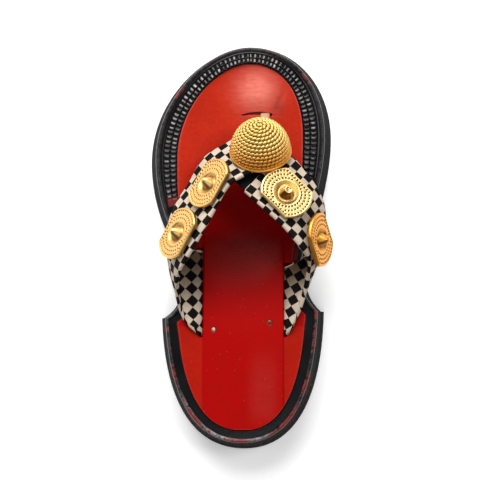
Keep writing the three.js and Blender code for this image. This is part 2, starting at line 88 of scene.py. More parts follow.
# Wear of the black paint: all along, added at the heel, and at scuffs with x, y and reach
PLAIN_WEAR, HEEL_WEAR, HEEL_WEAR_START = 0.72, 0.2, (50, 90)
SIDE_SCUFFING, TOP_SCUFFING, BORDER_SCUFFING = 0.08, 0.24, 0.4
SIDE_WEAR, TOP_WEAR = 0.96, 1.1
SCUFFS = [(25, 138, 7), (48, 124, 9), (-47, 114, 9), (-54, -94, 6), (-36, -130, 15), (0, -147, 12),
          (38, -132, 13), (54, -104, 9), (60, -66, 10), (57, -52, 9), (50, -50, 7), (-58, -62, 5)]

# Border: a bead at its edge, a groove and a band stamped with two rows of bars
WELT_STEP = 0.38
BORDER_HEIGHT = 4.0
WELT_EDGE = [
    # in from the ridge line, height over the ridge, wear, painted highlight
    (-1.25, -2.95, 0.9, 0), (-0.75, -2.55, 0.3, 0), (-0.95, -2.05, 0.9, 0), (-0.7, -1.3, 1, 0),
    (-0.35, -0.6, 1.1, 0.3), (0.1, -0.14, 1.1, 1), (0.6, 0.0, 1.1, 1), (1.1, -0.1, 1.05, 0.8),
    (1.55, -0.45, 1, 0.9), (1.85, -0.9, 0.8, 0.5),
]
GROOVE_DEPTH, PLAIN_GROOVE, GROOVE_SHARE = 0.9, 0.25, 0.32
BAND_STATIONS = [0, 0.03, 0.06, 0.09, 0.17, 0.27, 0.37, 0.44, 0.47, 0.5, 0.53, 0.56, 0.64, 0.74, 0.84, 0.91,
                 0.94, 0.97, 1.0]
BAR_PITCH, BAR_WIDTH, BAR_DEPTH = 4.1, 2.6, 1.1
BAR_ROWS = [((0.02, 0.08), (0.44, 0.49)), ((0.51, 0.56), (0.92, 0.98))]  # soft ends of each row across
BAR_TOPS = [((0.06, 0.17), (0.34, 0.46)), ((0.54, 0.66), (0.83, 0.94))]  # the same for its top, where a highlight is painted
TOOLED_END = {"lateral": 29.0, "medial": 46.0}
BARE_ENDS = ((-5, -4), (2, 3))  # soft ends of the bare strip, from the end of the tooled band

# Insole: slits with left, right, front and rear, and the bowed toe slit with left, right, y and bow
INSOLE_RISE = 0.4
INSOLE_GAP, EDGE_DROP, EDGE_REACH = 0.05, 0.6, 0.9  # to the border, and of the rounded edge
INSOLE_ROWS, INSOLE_SPANS, LEAST_SPAN = 331, (16, 8, 64, 8, 16), 1.2
PANEL_RAISE = 1.2
PANEL_LEFT, PANEL_RIGHT, PANEL_FRONT, PANEL_FLAT = -26.9, 31.2, 16.0, -4.0
LATERAL_SLIT = (-31.8, PANEL_LEFT, -2.4, -68.8)
MEDIAL_SLIT = (PANEL_RIGHT, 36.2, -14.2, -68.8)
SLIT_DEPTH = 4.2
TOE_SLIT = (0.8, 23.2, 93.6, 1.5)
TOE_SLIT_DEPTH, TOE_SLIT_STEP = 2.6, 0.25
ARC_CENTRE, ARC_PITCH = (-5.0, 8.0), 1.9

# Straps as ruled bands: front edge, rear edge and swell of each section
STRAP_SIZE, LINING_SIZE, POST_SIZE = (3.2, 44.0), (1.6, 44.0), (2.6, 6.8)  # thickness and width
PRESSED_THICKNESS = 1.6
STRAP_FLATS, STRAP_ROUNDS = 25, 5
CHECK_CELL = 6.4
LATERAL_ROWS = [
    ((27, 80, 35.5), (28, 55, 51.5), 0),
    ((14, 84, 30.5), (21, 53, 54), 0),
    ((-9, 71.5, 33), (6.7, 45.5, 60), 0.5),
    ((-25, 61.5, 31), (-5.2, 38.3, 62.5), 0.5),
    ((-37, 42, 30), (-17.9, 16.8, 63), 0.5),
    ((-46, 27.5, 30), (-25.9, 2.4, 63), 1),
    ((-50, 17, 29.5), (-33.1, -10, 61.4), 1.5),
    ((-51.5, 9, 28.5), (-39.5, -19.5, 57.5), 2),
    ((-51, 4, 27.5), (-43, -28, 48.5), 2.5),
    ((-49, 0, 26.3), (-43.5, -36, 39.5), 3),
    ((-45.5, -2, 25.4), (-42.6, -46, 33.4), 1.5),
    ((-39, -3.4, 24.8), (-39.5, -56.5, 30.9), -0.5),
    ((-31.5, -4.4, 24.6), (-32, -64, 30.4), 0),
    ((-28.85, -4.6, 22), (-28.85, -66.5, 28), 0),
    ((-28.85, -4.6, 16.5), (-28.85, -66.5, 22.5), 0),
]
MEDIAL_ROWS = [
    ((32, 65, 44.5), (3.9, 33.5, 60), 0),
    ((41.3, 56.6, 45), (13.1, 25.1, 62), 0.5),
    ((46.7, 49.4, 45.5), (21, 18, 62.5), 0.5),
    ((54, 40, 43), (29.5, 10, 62.5), 1),
    ((60, 26.5, 37), (36, 3, 63), 1.5),
    ((60.5, 12.5, 31.3), (40.5, -3, 62.5), 2),
    ((59.8, 4.5, 29.3), (46, -9.5, 58), 2),
    ((58.5, 0.5, 28.3), (49.5, -17, 46.5), 2),
    ((56, -3.5, 27.3), (47.5, -27, 38), 2.5),
    ((52, -6.5, 26.6), (45.3, -38, 33.5), 2),
    ((47, -9, 26), (42.5, -49, 31.4), 0.5),
    ((41.5, -12, 25.5), (39.5, -57, 30.6), -0.5),
    ((35.9, -15.6, 25.5), (36.1, -63.5, 30.4), 0),
    ((33.2, -16.5, 23), (33.2, -66.4, 28), 0),
    ((33.2, -16.5, 17.5), (33.2, -66.4, 22.5), 0),
]
# A band in the black leather finish under the dome, filling the wedge between the two straps
LINING_ROWS = [
    ((24, 73, 40), (-4, 43, 54.5), 0),
    ((28, 69, 41.5), (0, 39, 56), 0),
    ((33, 63, 43), (6, 33.5, 57.5), 0),
    ((38, 57, 43), (11, 28, 58.5), 0),
]
POST_ROWS = [
    ((14.6, 94.8, 14), (21.4, 94.8, 14), 0),
    ((14.6, 93.8, 20.5), (21.4, 93.8, 20.5), 0),
    ((14.4, 89, 24.2), (21.2, 89, 24.2), 0),
    ((14.2, 84, 27.2), (20.8, 84, 27.2), 0),
    ((14, 77, 32), (20.4, 77, 32), 0),
]
# How the cloth lies on the outer and inner face: row, angle of its threads, scale and shift
LATERAL_LAYS = [(4, 88, 1.0, (4.0, 3.6)), (11.5, 49, 1.0, (11.3, 8.5))]
MEDIAL_LAYS = [(3, 90, 1.06, (10.0, 3.2)), (11.5, 59, 1.02, (9.6, 0.0))]
RELAX_ROUNDS, RELAX_PULL = 4000, 0.12

# Dome: foot, lean towards the toe, a plain rim as steps from its radius, and rings of beads
DOME_FOOT, DOME_LEAN = (15.4, 63.4, 47.0), math.radians(40)
DOME_RADIUS, DOME_HEIGHT, DOME_RINGS = 21.3, 26.0, 13
RIM_RADIUS, RIM_HEIGHT = 22.2, 1.5
RIM_PROFILE = [(-0.8, 0), (-0.2, 0.1), (0, 0.6), (-0.1, 1.2), (-0.7, 1.6)]
DOME_SIDES, SHELL_STEPS, SHELL_INSET = 96, 26, 1.0
BEAD_PITCH, BEAD_INSET, BEAD_TWIST = 3.0, 0.75, 0.4
BEAD_SIDES, BEAD_ROWS = 10, 6
BEAD_LONG, BEAD_WIDE, BEAD_HIGH = 0.74, 0.42, 1.2

# Gold plates: strap, row along it, share across it, turn, pitch, lift, tip of the cone, browning that is
# painted shade
ORNAMENTS = {
    "lateral_front": ("lateral", 3.42, 0.64, 0, 0, 0.2, "pointed", 0.42),
    "lateral_rear": ("lateral", 5.8, 0.58, 0, 0, 0.3, "pointed", 0.42),
    "medial_front": ("medial", 2.05, 0.562, 0, 0, 0, "tube", 0.0),
    "medial_rear": ("medial", 5.6, 0.5, 8, 7, 0.4, "pointed", 0.88),
}
PLATE_SEGMENTS, FACE_STEPS = 240, 33
PLATE_RADIUS, PLATE_HALF_WIDTH, PLATE_THICKNESS = 19.0, 14.6, 3.4
PLATE_EDGE = [(1.2, 0), (0.3, 0.1), (0, 0.5), (0, 1.6), (0, 2.7), (0.15, 3.15), (0.5, 3.4)]
DOT_ROWS, DOT_INSET, DOT_PITCH, DOT_RADIUS, DOT_DEPTH = (10.9, 13.8), 2.2, 2.4, 0.92, 0.75
# Radius and height down the crater and up the cone
CONES = {
    "pointed": [(8.4, 3.4), (7.6, 2.5), (6.6, 1.7), (5.9, 1.7), (5.2, 2.5), (4.4, 3.8), (3.3, 5.8),
                (2.1, 7.6), (1.1, 8.6), (0.5, 8.85)],
    "tube": [(9.0, 3.4), (8.5, 2.6), (7.8, 1.7), (7.0, 1.05), (6.2, 0.75), (5.4, 0.85), (4.7, 1.45),
             (4.1, 2.5), (3.6, 3.9), (3.25, 5.5), (3.0, 7.1), (2.9, 8.3), (2.6, 8.7), (2.2, 8.8),
             (1.8, 8.6), (1.5, 8.2), (0.8, 8.0)],
}
CONE_TOPS = {"pointed": (8.9, 0.0), "tube": (7.9, 0.3)}  # height and darkness of the middle point, the darkness painted shade in the tube's open end

# Nails: place and rust of the crown, and a profile of radius, height and rust
NAILS = {"lateral": (-18.8, -62.1, 0.0), "medial": (21.3, -57.1, 1.0)}
NAIL_RING = [(2.3, 0.05, 1.0), (2.1, 0.28, 1.0), (1.7, 0.15, 1.0), (1.5, 0.35, 0.6)]
NAIL_CROWN = [(1.1, 0.6), (0.5, 0.7)]
NAIL_SIDES = 28


# Soft steps and curves
def smooth(x, low, high):
    """A soft step from 0 at one value to 1 at another."""
    t = np.clip((np.asarray(x, float) - low) / (high - low), 0, 1)
    return t * t * (3 - 2 * t)


def between(x, rise, fall):
    """1 between two soft ends, each given by where it starts and stops."""
    return smooth(x, *rise) * (1 - smooth(x, *fall))


def bump(x, centre, width):
    return np.exp(-(((np.asarray(x, float) - centre) / width) ** 2))


def edge_run(points):
    """Length along a line up to each of its points."""
    return np.concatenate([[0], np.cumsum(np.linalg.norm(np.diff(points, axis=0), axis=1))])


def evenly(curve, step):
    """Points of a flat curve at an even step."""
    run = edge_run(curve)
    count = max(2, round(run[-1] / step))
    places = np.arange(count) / count * run[-1]
    return np.stack([np.interp(places, run, curve[:, k]) for k in (0, 1)], 1)


def circle(count):
    return np.arange(count) * 2 * math.pi / count


# Levels of the sole
def soft_ramp(y, ramp):
    front, rear, soft = ramp
    share = np.clip((front - np.asarray(y, float)) / (front - rear), 0, 1)
    bend = 2 * soft * (1 - soft)
    middle = (share - soft / 2) / (1 - soft)
    end = 1 - (1 - share) ** 2 / bend
    return np.where(share < soft, share ** 2 / bend, np.where(share > 1 - soft, end, middle))


def toe_lift(y):
    share = np.maximum(0, (np.asarray(y, float) - SPRING_START) / (TOE_END - SPRING_START))
    return TOE_SPRING * share * share


def top_level(y):
    return FORE_TOP + (HEEL_TOP - FORE_TOP) * soft_ramp(y, TOP_RAMP) + toe_lift(y)


def under_level(y):
    return HEEL_LIFT * soft_ramp(y, ARCH_RAMP) + toe_lift(y)


def side_level(y, share):
    """Height on the sole's side, from its rounded tread edge up to the border."""
    low = under_level(y) + EDGE_ROUND
    return low + share * (top_level(y) - BORDER_HEIGHT - low)


# Outline sampled at an even step, with inward directions and what runs along it
class Outline:
    def __init__(self, step):
        parts = []
        t = np.linspace(0, 1, 400)[:, None]
        for knot, after in zip(OUTLINE_KNOTS, OUTLINE_KNOTS[1:] + OUTLINE_KNOTS[:1]):
            name, start, _, leave, *here = knot
            _, end, arrive, _, *there = after
            handles = [np.array(start), np.add(start, leave), np.add(end, arrive), np.array(end)]
            curve = sum(math.comb(3, k) * t ** k * (1 - t) ** (3 - k) * handles[k] for k in range(4))
            spaced = evenly(curve, step)
            share = np.arange(len(spaced))[:, None] / len(spaced)
            blend = here + np.subtract(there, here) * smooth(share, 0, 1)
            parts.append(np.hstack([spaced, blend, (share == 0) & name.endswith("ear")]))
        table = np.concatenate(parts)
        self.place = table[:, :2]
        self.border, self.tooled, self.ear = table[:, 2:].T
        reach = max(1, round(NORMAL_SPAN / step))
        along = np.roll(self.place, -reach, 0) - np.roll(self.place, reach, 0)
        along /= np.linalg.norm(along, axis=1)[:, None]
        self.inward = np.stack([-along[:, 1], along[:, 0]], 1)
        self.run = edge_run(self.place)

    def ring(self, inset, level):
        """Points a given way in from the outline, at a level that may follow from their y."""
        length = len(self.place)
        flat = self.place + self.inward * np.broadcast_to(inset, length)[:, None]
        z = level(flat[:, 1]) if callable(level) else level
        return np.column_stack([flat, np.broadcast_to(z, length)])

    def flare(self, z):
        """How far the bevelled side has come in at a height above the floor."""
        return SIDE_FLARE * z / top_level(self.place[:, 1])

    def tread(self, floor):
        """Rings of the rounded tread edge over a floor that follows from y."""
        under = floor(self.place[:, 1])
        rings = []
        for angle in ROUND_ANGLES:
            rise = EDGE_ROUND * (1 - math.cos(angle))
            come_in = EDGE_ROUND * (1 - math.sin(angle))
            rings.append(self.ring(self.flare(under + rise) + come_in, lambda y: floor(y) + rise))
        return rings

    def wear(self, scuffing):
        """How far the paint is rubbed along the outline, with a weight for the scuffs."""
        x, y = self.place.T
        scuffed = np.zeros(len(x))
        for place_x, place_y, reach in SCUFFS:
            scuffed = np.maximum(scuffed, bump(np.hypot(x - place_x, y - place_y), 0, reach))
        return PLAIN_WEAR + HEEL_WEAR * smooth(-y, *HEEL_WEAR_START) + scuffing * scuffed


# Faces between rings of one length, over their ends, and caps in strips from side to side
def ring_faces(rings, length, closed=False):
    ring, i = np.meshgrid(np.arange(rings if closed else rings - 1), np.arange(length), indexing="ij")
    after, up = (i + 1) % length, (ring + 1) % rings
    corners = [ring * length + i, ring * length + after, up * length + after, up * length + i]
    return np.stack(corners, -1).reshape(-1, 4).tolist()


def end_faces(rings, length):
    return [tuple(range(length))[::-1], tuple(range((rings - 1) * length, rings * length))]


def cap_faces(ring, first, up):
    front, rear, length = int(ring[:, 1].argmax()), int(ring[:, 1].argmin()), len(ring)
    left = [(front + k) % length for k in range((rear - front) % length + 1)]
    right = [(front - k) % length for k in range((front - rear) % length + 1)]
    faces, i, j = [], 0, 0
    while i < len(left) - 1 or j < len(right) - 1:
        left_y = ring[left[i + 1], 1] if i < len(left) - 1 else -math.inf
        right_y = ring[right[j + 1], 1] if j < len(right) - 1 else -math.inf
        if left_y >= right_y:
            face, i = (left[i], left[i + 1], right[j]), i + 1
        else:
            face, j = (left[i], right[j + 1], right[j]), j + 1
        if len(set(face)) == 3:
            faces.append(tuple(first + k for k in (face if up else face[::-1])))
    return faces


# A finished piece from points in millimetres: placed in the frame, riding and standing for its node
def make_piece(name, points, faces, material, node, uv=None, masks=None, crease=40):
    mesh = bpy.data.meshes.new(name)
    placed = (np.asarray(points, float) - (*MIDDLE, 0)) * MM
    mesh.from_pydata(placed.tolist(), [], faces)
    if uv is not None:
        layer = mesh.uv_layers.new(name="cloth")
        layer.data.foreach_set("uv", np.asarray(uv, np.float32).ravel())
    for mask, values in (masks or {}).items():
        attribute = mesh.attributes.new(mask, "FLOAT", "POINT")
        attribute.data.foreach_set("value", np.asarray(values, np.float32))
    mesh.materials.append(material)
    mesh.validate()
    piece = bpy.data.objects.new(name, mesh)
    bpy.context.scene.collection.objects.link(piece)
    mesh.shade_smooth()
    mesh.set_sharp_from_angle(angle=math.radians(crease))
    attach(piece, "root")
    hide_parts(node)


# Materials
def linear(code):
    """An sRGB hex colour as linear light."""
    parts = [int(code[k:k + 2], 16) / 255 for k in (1, 3, 5)]
    return (*[p / 12.92 if p <= 0.04045 else ((p + 0.055) / 1.055) ** 2.4 for p in parts], 1)


def fill_inputs(tree, node, inputs):
    """Sets or links inputs, given by name or in their order."""
    for socket, value in inputs.items() if isinstance(inputs, dict) else enumerate(inputs):
        if isinstance(value, bpy.types.NodeSocket):
            tree.links.new(value, node.inputs[socket])
        else:
            node.inputs[socket].default_value = value


def add_node(tree, kind, inputs=(), output=0, **settings):
    """Adds a node with its settings and inputs, and gives the output in use."""
    node = tree.nodes.new("ShaderNode" + kind)
    for key, value in settings.items():
        setattr(node, key, value)
    fill_inputs(tree, node, inputs)
    return node.outputs[output]


def new_material(name, surface, *settings):
    """A material whose shader gets its inputs from a surface function."""
    material = bpy.data.materials.new(name)
    material.use_nodes = True
    tree = material.node_tree
    add = partial(add_node, tree)
    place = add("TexCoord", output="Object")
    fill_inputs(tree, tree.nodes["Principled BSDF"], surface(add, place, *settings))
    return material


def black_leather(add, place, smoothest, roughest, specular):
    # Sole leather coated with black edge paint: burnished it is a satin film that mirrors the
    # light in soft streaks, scuffed it is dull, and red leather shows where it is rubbed through
    wear, bare, painted_shine = (add("Attribute", output="Fac", attribute_name=mask)
                         for mask in ("wear", "bare", "painted_shine"))
    rub = add("TexNoise", {"Vector": place, "Scale": 1 / (3 * MM), "Detail": 6, "Roughness": 0.65})
    tone = add("TexNoise", {"Vector": place, "Scale": 1 / (22 * MM), "Detail": 3})
    level = add("Math", [rub, wear], operation="MULTIPLY")
    worn = add("MapRange", [level, 0.53, 0.63])
    shown = add("Math", [worn, bare], operation="MAXIMUM")
    patchy = add("MapRange", [rub, 0.35, 0.65])
    # Pale flecks: painted highlights on the bead and the tops of the bars
    highlight_fleck = add("Math", [painted_shine, patchy], operation="MULTIPLY")
    colour = linear("#050506")
    for share, tint in ((tone, "#151417"), (highlight_fleck, "#e8e2de"), (shown, "#742b29")):
        colour = add("Mix", {0: share, 6: colour, 7: linear(tint)}, 2, data_type="RGBA")
    gloss = add("MapRange", [tone, 0, 1, smoothest, roughest])
    # Brush marks and pores of about 0.9 mm, drawn at 1.6 mm so that they show
    pores = add("TexNoise", {"Vector": place, "Scale": 1 / (1.6 * MM), "Detail": 4})
    relief = add("Bump", {"Height": pores, "Strength": 0.15, "Distance": 0.3 * MM})
    return {"Base Color": colour, "Roughness": gloss, "Normal": relief, "IOR": 1.5,
            "Specular IOR Level": specular}


def red_leather(add, place):
    # Vegetable-tanned leather dyed scarlet and waxed: fine pores, paler where it is cut or rubbed and
    # where a sheen and highlight are painted, darker where the foot has pressed it and where shade is
    # painted
    warm, dark, pale, dust = (add("Attribute", output="Fac", attribute_name=mask)
                              for mask in ("warm", "dark", "pale", "dust"))
    cloud = add("TexNoise", {"Vector": place, "Scale": 1 / (40 * MM), "Detail": 4})
    shade = add("MapRange", [cloud, 0.35, 0.7, 0, 0.35])
    # Mottling of the grain, some 3 mm across
    mottle = add("TexNoise", {"Vector": place, "Scale": 1 / (3 * MM), "Detail": 6, "Roughness": 0.7})
    grain = add("MapRange", [mottle, 0.4, 0.7, 0, 0.3])
    # Streaks that break up the paler places, the painted sheen among them, some 1.8 mm apart
    drawn = add("VectorMath", [place, (0.25, 1, 1)], operation="MULTIPLY")
    streak = add("TexNoise", {"Vector": drawn, "Scale": 1 / (1.8 * MM), "Detail": 5, "Roughness": 0.6})
    sheen_streaks = add("MapRange", [streak, 0.3, 0.7, 0.7, 1.2])
    rubbed = add("Math", [pale, sheen_streaks], operation="MULTIPLY", use_clamp=True)
    # Dust lying in fine broken arcs across the arch, about 2 mm apart
    centre = (ARC_CENTRE[0] * MM, ARC_CENTRE[1] * MM, 0)
    away = add("VectorMath", [place, centre], operation="SUBTRACT")
    arcs = add("TexWave", {"Vector": away, "Scale": math.pi / 10 / (ARC_PITCH * MM), "Distortion": 3,
                           "Detail": 3, "Detail Scale": 2}, "Fac", wave_type="RINGS", rings_direction="Z")
    film = add("MapRange", [arcs, 0, 1, 0.25, 1])
    dusty = add("Math", [film, dust], operation="MULTIPLY")
    # Specks of dust and rubbed pores, about 0.5 mm across and some 5 mm apart
    cells = add("TexVoronoi", {"Vector": place, "Scale": 1 / (5 * MM)})
    speck = add("MapRange", [cells, 0.03, 0.09, 0.12, 0])
    colour = linear("#a60000")
    for share, tint in ((warm, "#b02710"), (shade, "#8c0400"), (dark, "#2c0000"), (grain, "#7c0d05"),
                        (rubbed, "#d8796a"), (dusty, "#8f5048"), (speck, "#e0a08c")):
        colour = add("Mix", {0: share, 6: colour, 7: linear(tint)}, 2, data_type="RGBA")
    gloss = add("MapRange", [cloud, 0, 1, 0.38, 0.56])
    # Pores of about 0.5 mm, drawn at 1.1 mm so that they show
    pores = add("TexVoronoi", {"Vector": place, "Scale": 1 / (1.1 * MM)}, feature="SMOOTH_F1")
    relief = add("Bump", {"Height": pores, "Strength": 0.2, "Distance": 0.25 * MM})
    return {"Base Color": colour, "Roughness": gloss, "Normal": relief, "IOR": 1.5,
            "Specular IOR Level": 0.06}


def check_cloth(add, place):
    # Plain-woven cotton in a black and cream check: matt, with the threads just breaking the
    # edges of the squares, faded at random, and darker on its inner face where shade is painted. Its map is
    # in millimetres of cloth.
    cloth = add("UVMap", uv_map="cloth")
    wobble = add("TexNoise", {"Vector": cloth, "Scale": 1 / 4, "Detail": 2}, "Color")
    shift = add("VectorMath", [wobble, (0.5, 0.5, 0.5)], operation="SUBTRACT")
    moved = add("VectorMath", [shift, (0.5, 0.5, 0), cloth], operation="MULTIPLY_ADD")
    lifted = add("VectorMath", [moved, (0, 0, CHECK_CELL / 2)])
    checks = add("TexChecker", {"Vector": lifted, "Color1": linear("#c8b8a5"), "Color2": linear("#100c0b"),
                                "Scale": 1 / CHECK_CELL})
    fade = add("TexNoise", {"Vector": cloth, "Scale": 1 / 7, "Detail": 4})
    faded = add("MapRange", [fade, 0.3, 0.75, 0, 0.3])
    painted_shade = add("Attribute", output="Fac", attribute_name="painted_shade")
    fade_and_shade = add("Math", [faded, painted_shade], operation="MAXIMUM")
    colour = add("Mix", {0: fade_and_shade, 6: checks, 7: linear("#6b5847")}, 2, data_type="RGBA",
                 blend_type="MULTIPLY")
    # Threads of about 0.4 mm, drawn at 1 mm so that they show: a wave scale of 1 / 3.2
    weft, warp = (add("TexWave", {"Vector": cloth, "Scale": 1 / 3.2}, "Fac", bands_direction=way)
                  for way in "XY")
    weave = add("Math", [weft, warp], operation="MAXIMUM")
    relief = add("Bump", {"Height": weave, "Strength": 0.4, "Distance": 0.25 * MM})
    return {"Base Color": colour, "Roughness": 0.85, "Normal": relief, "Specular IOR Level": 0.1}


def tan_leather(add, place):
    # Undyed leather thong, rubbed smooth: dull, pale tan, darker in its pores
    grain = add("TexNoise", {"Vector": place, "Scale": 1 / (2 * MM), "Detail": 5})
    colour = add("Mix", {0: grain, 6: linear("#99704f"), 7: linear("#bb9272")}, 2, data_type="RGBA")
    relief = add("Bump", {"Height": grain, "Strength": 0.3, "Distance": 0.3 * MM})
    return {"Base Color": colour, "Roughness": 0.6, "Normal": relief}


def gilt_brass(add, place, deep, pale, smoothest, roughest):
    # Cast brass, gilded and lightly buffed: bright on what stands out, browner in the hollows, and
    # orange-brown where shade and reflection are painted
    hollow, painted_brown = (add("Attribute", output="Fac", attribute_name=mask) for mask in ("hollow", "painted_brown"))
    cloud = add("TexNoise", {"Vector": place, "Scale": 1 / (8 * MM), "Detail": 4})
    colour = linear(deep)
    for share, tint in ((cloud, pale), (painted_brown, "#dc9230"), (hollow, "#5d3a10")):
        colour = add("Mix", {0: share, 6: colour, 7: linear(tint)}, 2, data_type="RGBA")
    gloss = add("MapRange", [cloud, 0, 1, smoothest, roughest])
    # Fine pits of the casting, about 0.6 mm, drawn at 1 mm so that they show
    pits = add("TexNoise", {"Vector": place, "Scale": 1 / (1 * MM), "Detail": 3})
    relief = add("Bump", {"Height": pits, "Strength": 0.12, "Distance": 0.2 * MM})
    return {"Base Color": colour, "Metallic": 1, "Roughness": gloss, "Normal": relief}


def nail_iron(add, place):
    # Hammered iron nail, stained by the red dye: worn bright on its crown, rusty at its rim
    rust = add("Attribute", output="Fac", attribute_name="hollow")
    colour = add("Mix", {0: rust, 6: linear("#d2a394"), 7: linear("#7c3323")}, 2, data_type="RGBA")
    return {"Base Color": colour, "Metallic": 1, "Roughness": 0.5}


def white_paper(add, place):
    # Matt white paper on a light table, so that its shadows are faint
    return {"Base Color": linear("#fafafa"), "Roughness": 0.9, "Emission Color": linear("#ffffff"),
            "Emission Strength": 0.22}


BLACK = new_material("burnished_black_leather", black_leather, 0.16, 0.32, 0.2)
SCUFFED = new_material("scuffed_black_leather", black_leather, 0.55, 0.75, 0.04)
RED = new_material("dyed_red_leather", red_leather)
CLOTH = new_material("woven_check_cloth", check_cloth)
TAN = new_material("undyed_tan_leather", tan_leather)
GOLD = new_material("buffed_gilt_brass", gilt_brass, "#e6bd70", "#f4dda2", 0.32, 0.45)
CAST_GOLD = new_material("cast_gilt_brass", gilt_brass, "#cfa95c", "#e0c078", 0.42, 0.58)
IRON = new_material("worn_nail_iron", nail_iron)
PAPER = new_material("pale_paper", white_paper)


# Sole: bevelled sides with a rounded tread edge, scuffed most at the top
def make_sole():
    outline = Outline(SOLE_STEP)
    rings = outline.tread(under_level)
    for share in SIDE_SHARES:
        inset = outline.flare(side_level(outline.place[:, 1], share))
        rings.append(outline.ring(inset, lambda y: side_level(y, share)))
    count, length = len(rings), len(outline.place)
    faces = cap_faces(rings[0], 0, False) + ring_faces(count, length)
    faces += cap_faces(rings[-1], (count - 1) * length, True)
    low, high = outline.wear(SIDE_SCUFFING), outline.wear(TOP_SCUFFING)
    wear = np.concatenate([SIDE_WEAR * low] * (count - 2) + [high, TOP_WEAR * high])
    make_piece("painted_sole", np.concatenate(rings), faces, SCUFFED, "sole",
               masks={"wear": wear})


# Heel: the outline behind the ears, closed by a hollow breast line
def make_heel():
    outline = Outline(SOLE_STEP)
    first, last = np.flatnonzero(outline.ear)
    keep = slice(first, last + 1)
    t = np.linspace(0, 1, BREAST_STEPS)[1:-1, None]
    start, end = outline.place[last], outline.place[first]
    middle = np.array([0, end[1] - BREAST_DEPTH])
    breast = (1 - t) ** 2 * start + 2 * t * (1 - t) * middle + t * t * end
    outline.place = np.concatenate([outline.place[keep], breast])
    outline.inward = np.concatenate([outline.inward[keep], np.tile([0.0, -1.0], (len(t), 1))])
    rings = outline.tread(np.zeros_like)
    for z, set_in in HEEL_SIDE:
        rings.append(outline.ring(outline.flare(z) + set_in, z))
    count, length = len(rings), len(outline.place)
    faces = ring_faces(count, length) + end_faces(count, length)
    wear = np.concatenate([SIDE_WEAR * outline.wear(SIDE_SCUFFING)] * count)
    make_piece("painted_heel", np.concatenate(rings), faces, SCUFFED, "heel",
               masks={"wear": wear})


# Border: rings from its foot over the bead, the groove and the tooled band
def make_welt():
    outline = Outline(WELT_STEP)
    x, y = outline.place.T
    lateral = x < OUTLINE_KNOTS[0][1][0]
    edge = np.where(lateral, TOOLED_END["lateral"], TOOLED_END["medial"])
    tooled = y > edge
    # Red leather bare at the outer end of the tooled band, and where the inner strap leaves the waist
    bare = np.maximum(lateral * between(y - edge, *BARE_ENDS), 0.9 * smooth(x, 34, 38) * bump(y, -14, 14))
    ridge = top_level(y)
    foot = ridge - BORDER_HEIGHT + GAP
    rubbed = outline.wear(BORDER_SCUFFING)
    rings, masks = [], {"wear": [], "bare": [], "painted_shine": []}

    def add(inset, z, wear, red=0.0, bright=0.0):
        rings.append(outline.ring(inset, z))
        for mask, values in (("wear", wear * rubbed), ("bare", red), ("painted_shine", bright)):
            masks[mask].append(np.broadcast_to(values, len(y)))

    add(outline.flare(foot), foot, 0.6)
    # A highlight is painted along the bead, strongest at the back of the heel
    bead_highlight = 0.05 + 0.75 * smooth(-y, 105, 130) * (1 - smooth(x, 8, 30))
    for come_in, height, wear, bright in WELT_EDGE:
        add(SIDE_FLARE + come_in, ridge + height, wear, bright=bright * bead_highlight)
    groove = ridge - GROOVE_DEPTH - PLAIN_GROOVE * (1 - outline.tooled)
    band = SIDE_FLARE + GROOVE_SHARE * outline.border
    inner = SIDE_FLARE + outline.border
    add(SIDE_FLARE + 2.2, groove - 0.1, 0.35)
    add(band - 0.35, groove, 0.35)
    place = outline.run / BAR_PITCH
    # Bars differ a little in width, place and height, by a fixed chance from their number, and have
    # pale tops, partly paint worn grey and partly painted highlight, brightest towards the toe
    for across in BAND_STATIONS:
        row = sum(between(across, *ends) for ends in BAR_ROWS)
        top = sum(between(across, *ends) for ends in BAR_TOPS)
        rim = 0.7 * (bump(across, 0.5, 0.02) + bump(across, 0, 0.03) + bump(across, 1, 0.03))
        chance = np.sin(np.floor(place) * 12.9898 + (across > 0.5) * 4.1) * 43758.5453 % 1
        half = BAR_WIDTH / 2 * (0.8 + 0.35 * chance)
        from_middle = place % 1 - 0.5 - 0.2 * (chance - 0.5)
        bar = np.sqrt(np.clip(1 - (from_middle * BAR_PITCH / half) ** 2, 0, 1))
        raised = np.maximum(row * bar * (0.7 + 0.3 * chance), rim)
        level = np.where(tooled, ridge + 0.05 - BAR_DEPTH * (1 - raised), groove + 0.25 * across)
        # Painted highlight on the bar tops, brighter towards the toe and the lateral side
        lit = (0.3 + 0.5 * smooth(y, 60, 115)) * (0.25 + chance) * (1 - 0.35 * smooth(x, 10, 45))
        red = bare * (0.9 if 0.04 < across < 0.96 else 0.6)
        add(band + across * (inner - band - 0.55), level, 0.5, red, tooled * lit * top * smooth(bar, 0.6, 1))
    add(inner - 0.3, ridge - 0.5, 0.5, bare)
    add(inner, ridge - 0.8, 0.5, bare)
    add(inner, foot, 0.5)
    masks = {mask: np.concatenate(values) for mask, values in masks.items()}
    make_piece("tooled_border", np.concatenate(rings), ring_faces(len(rings), len(y), True), BLACK, "welt",
               masks=masks, crease=60)
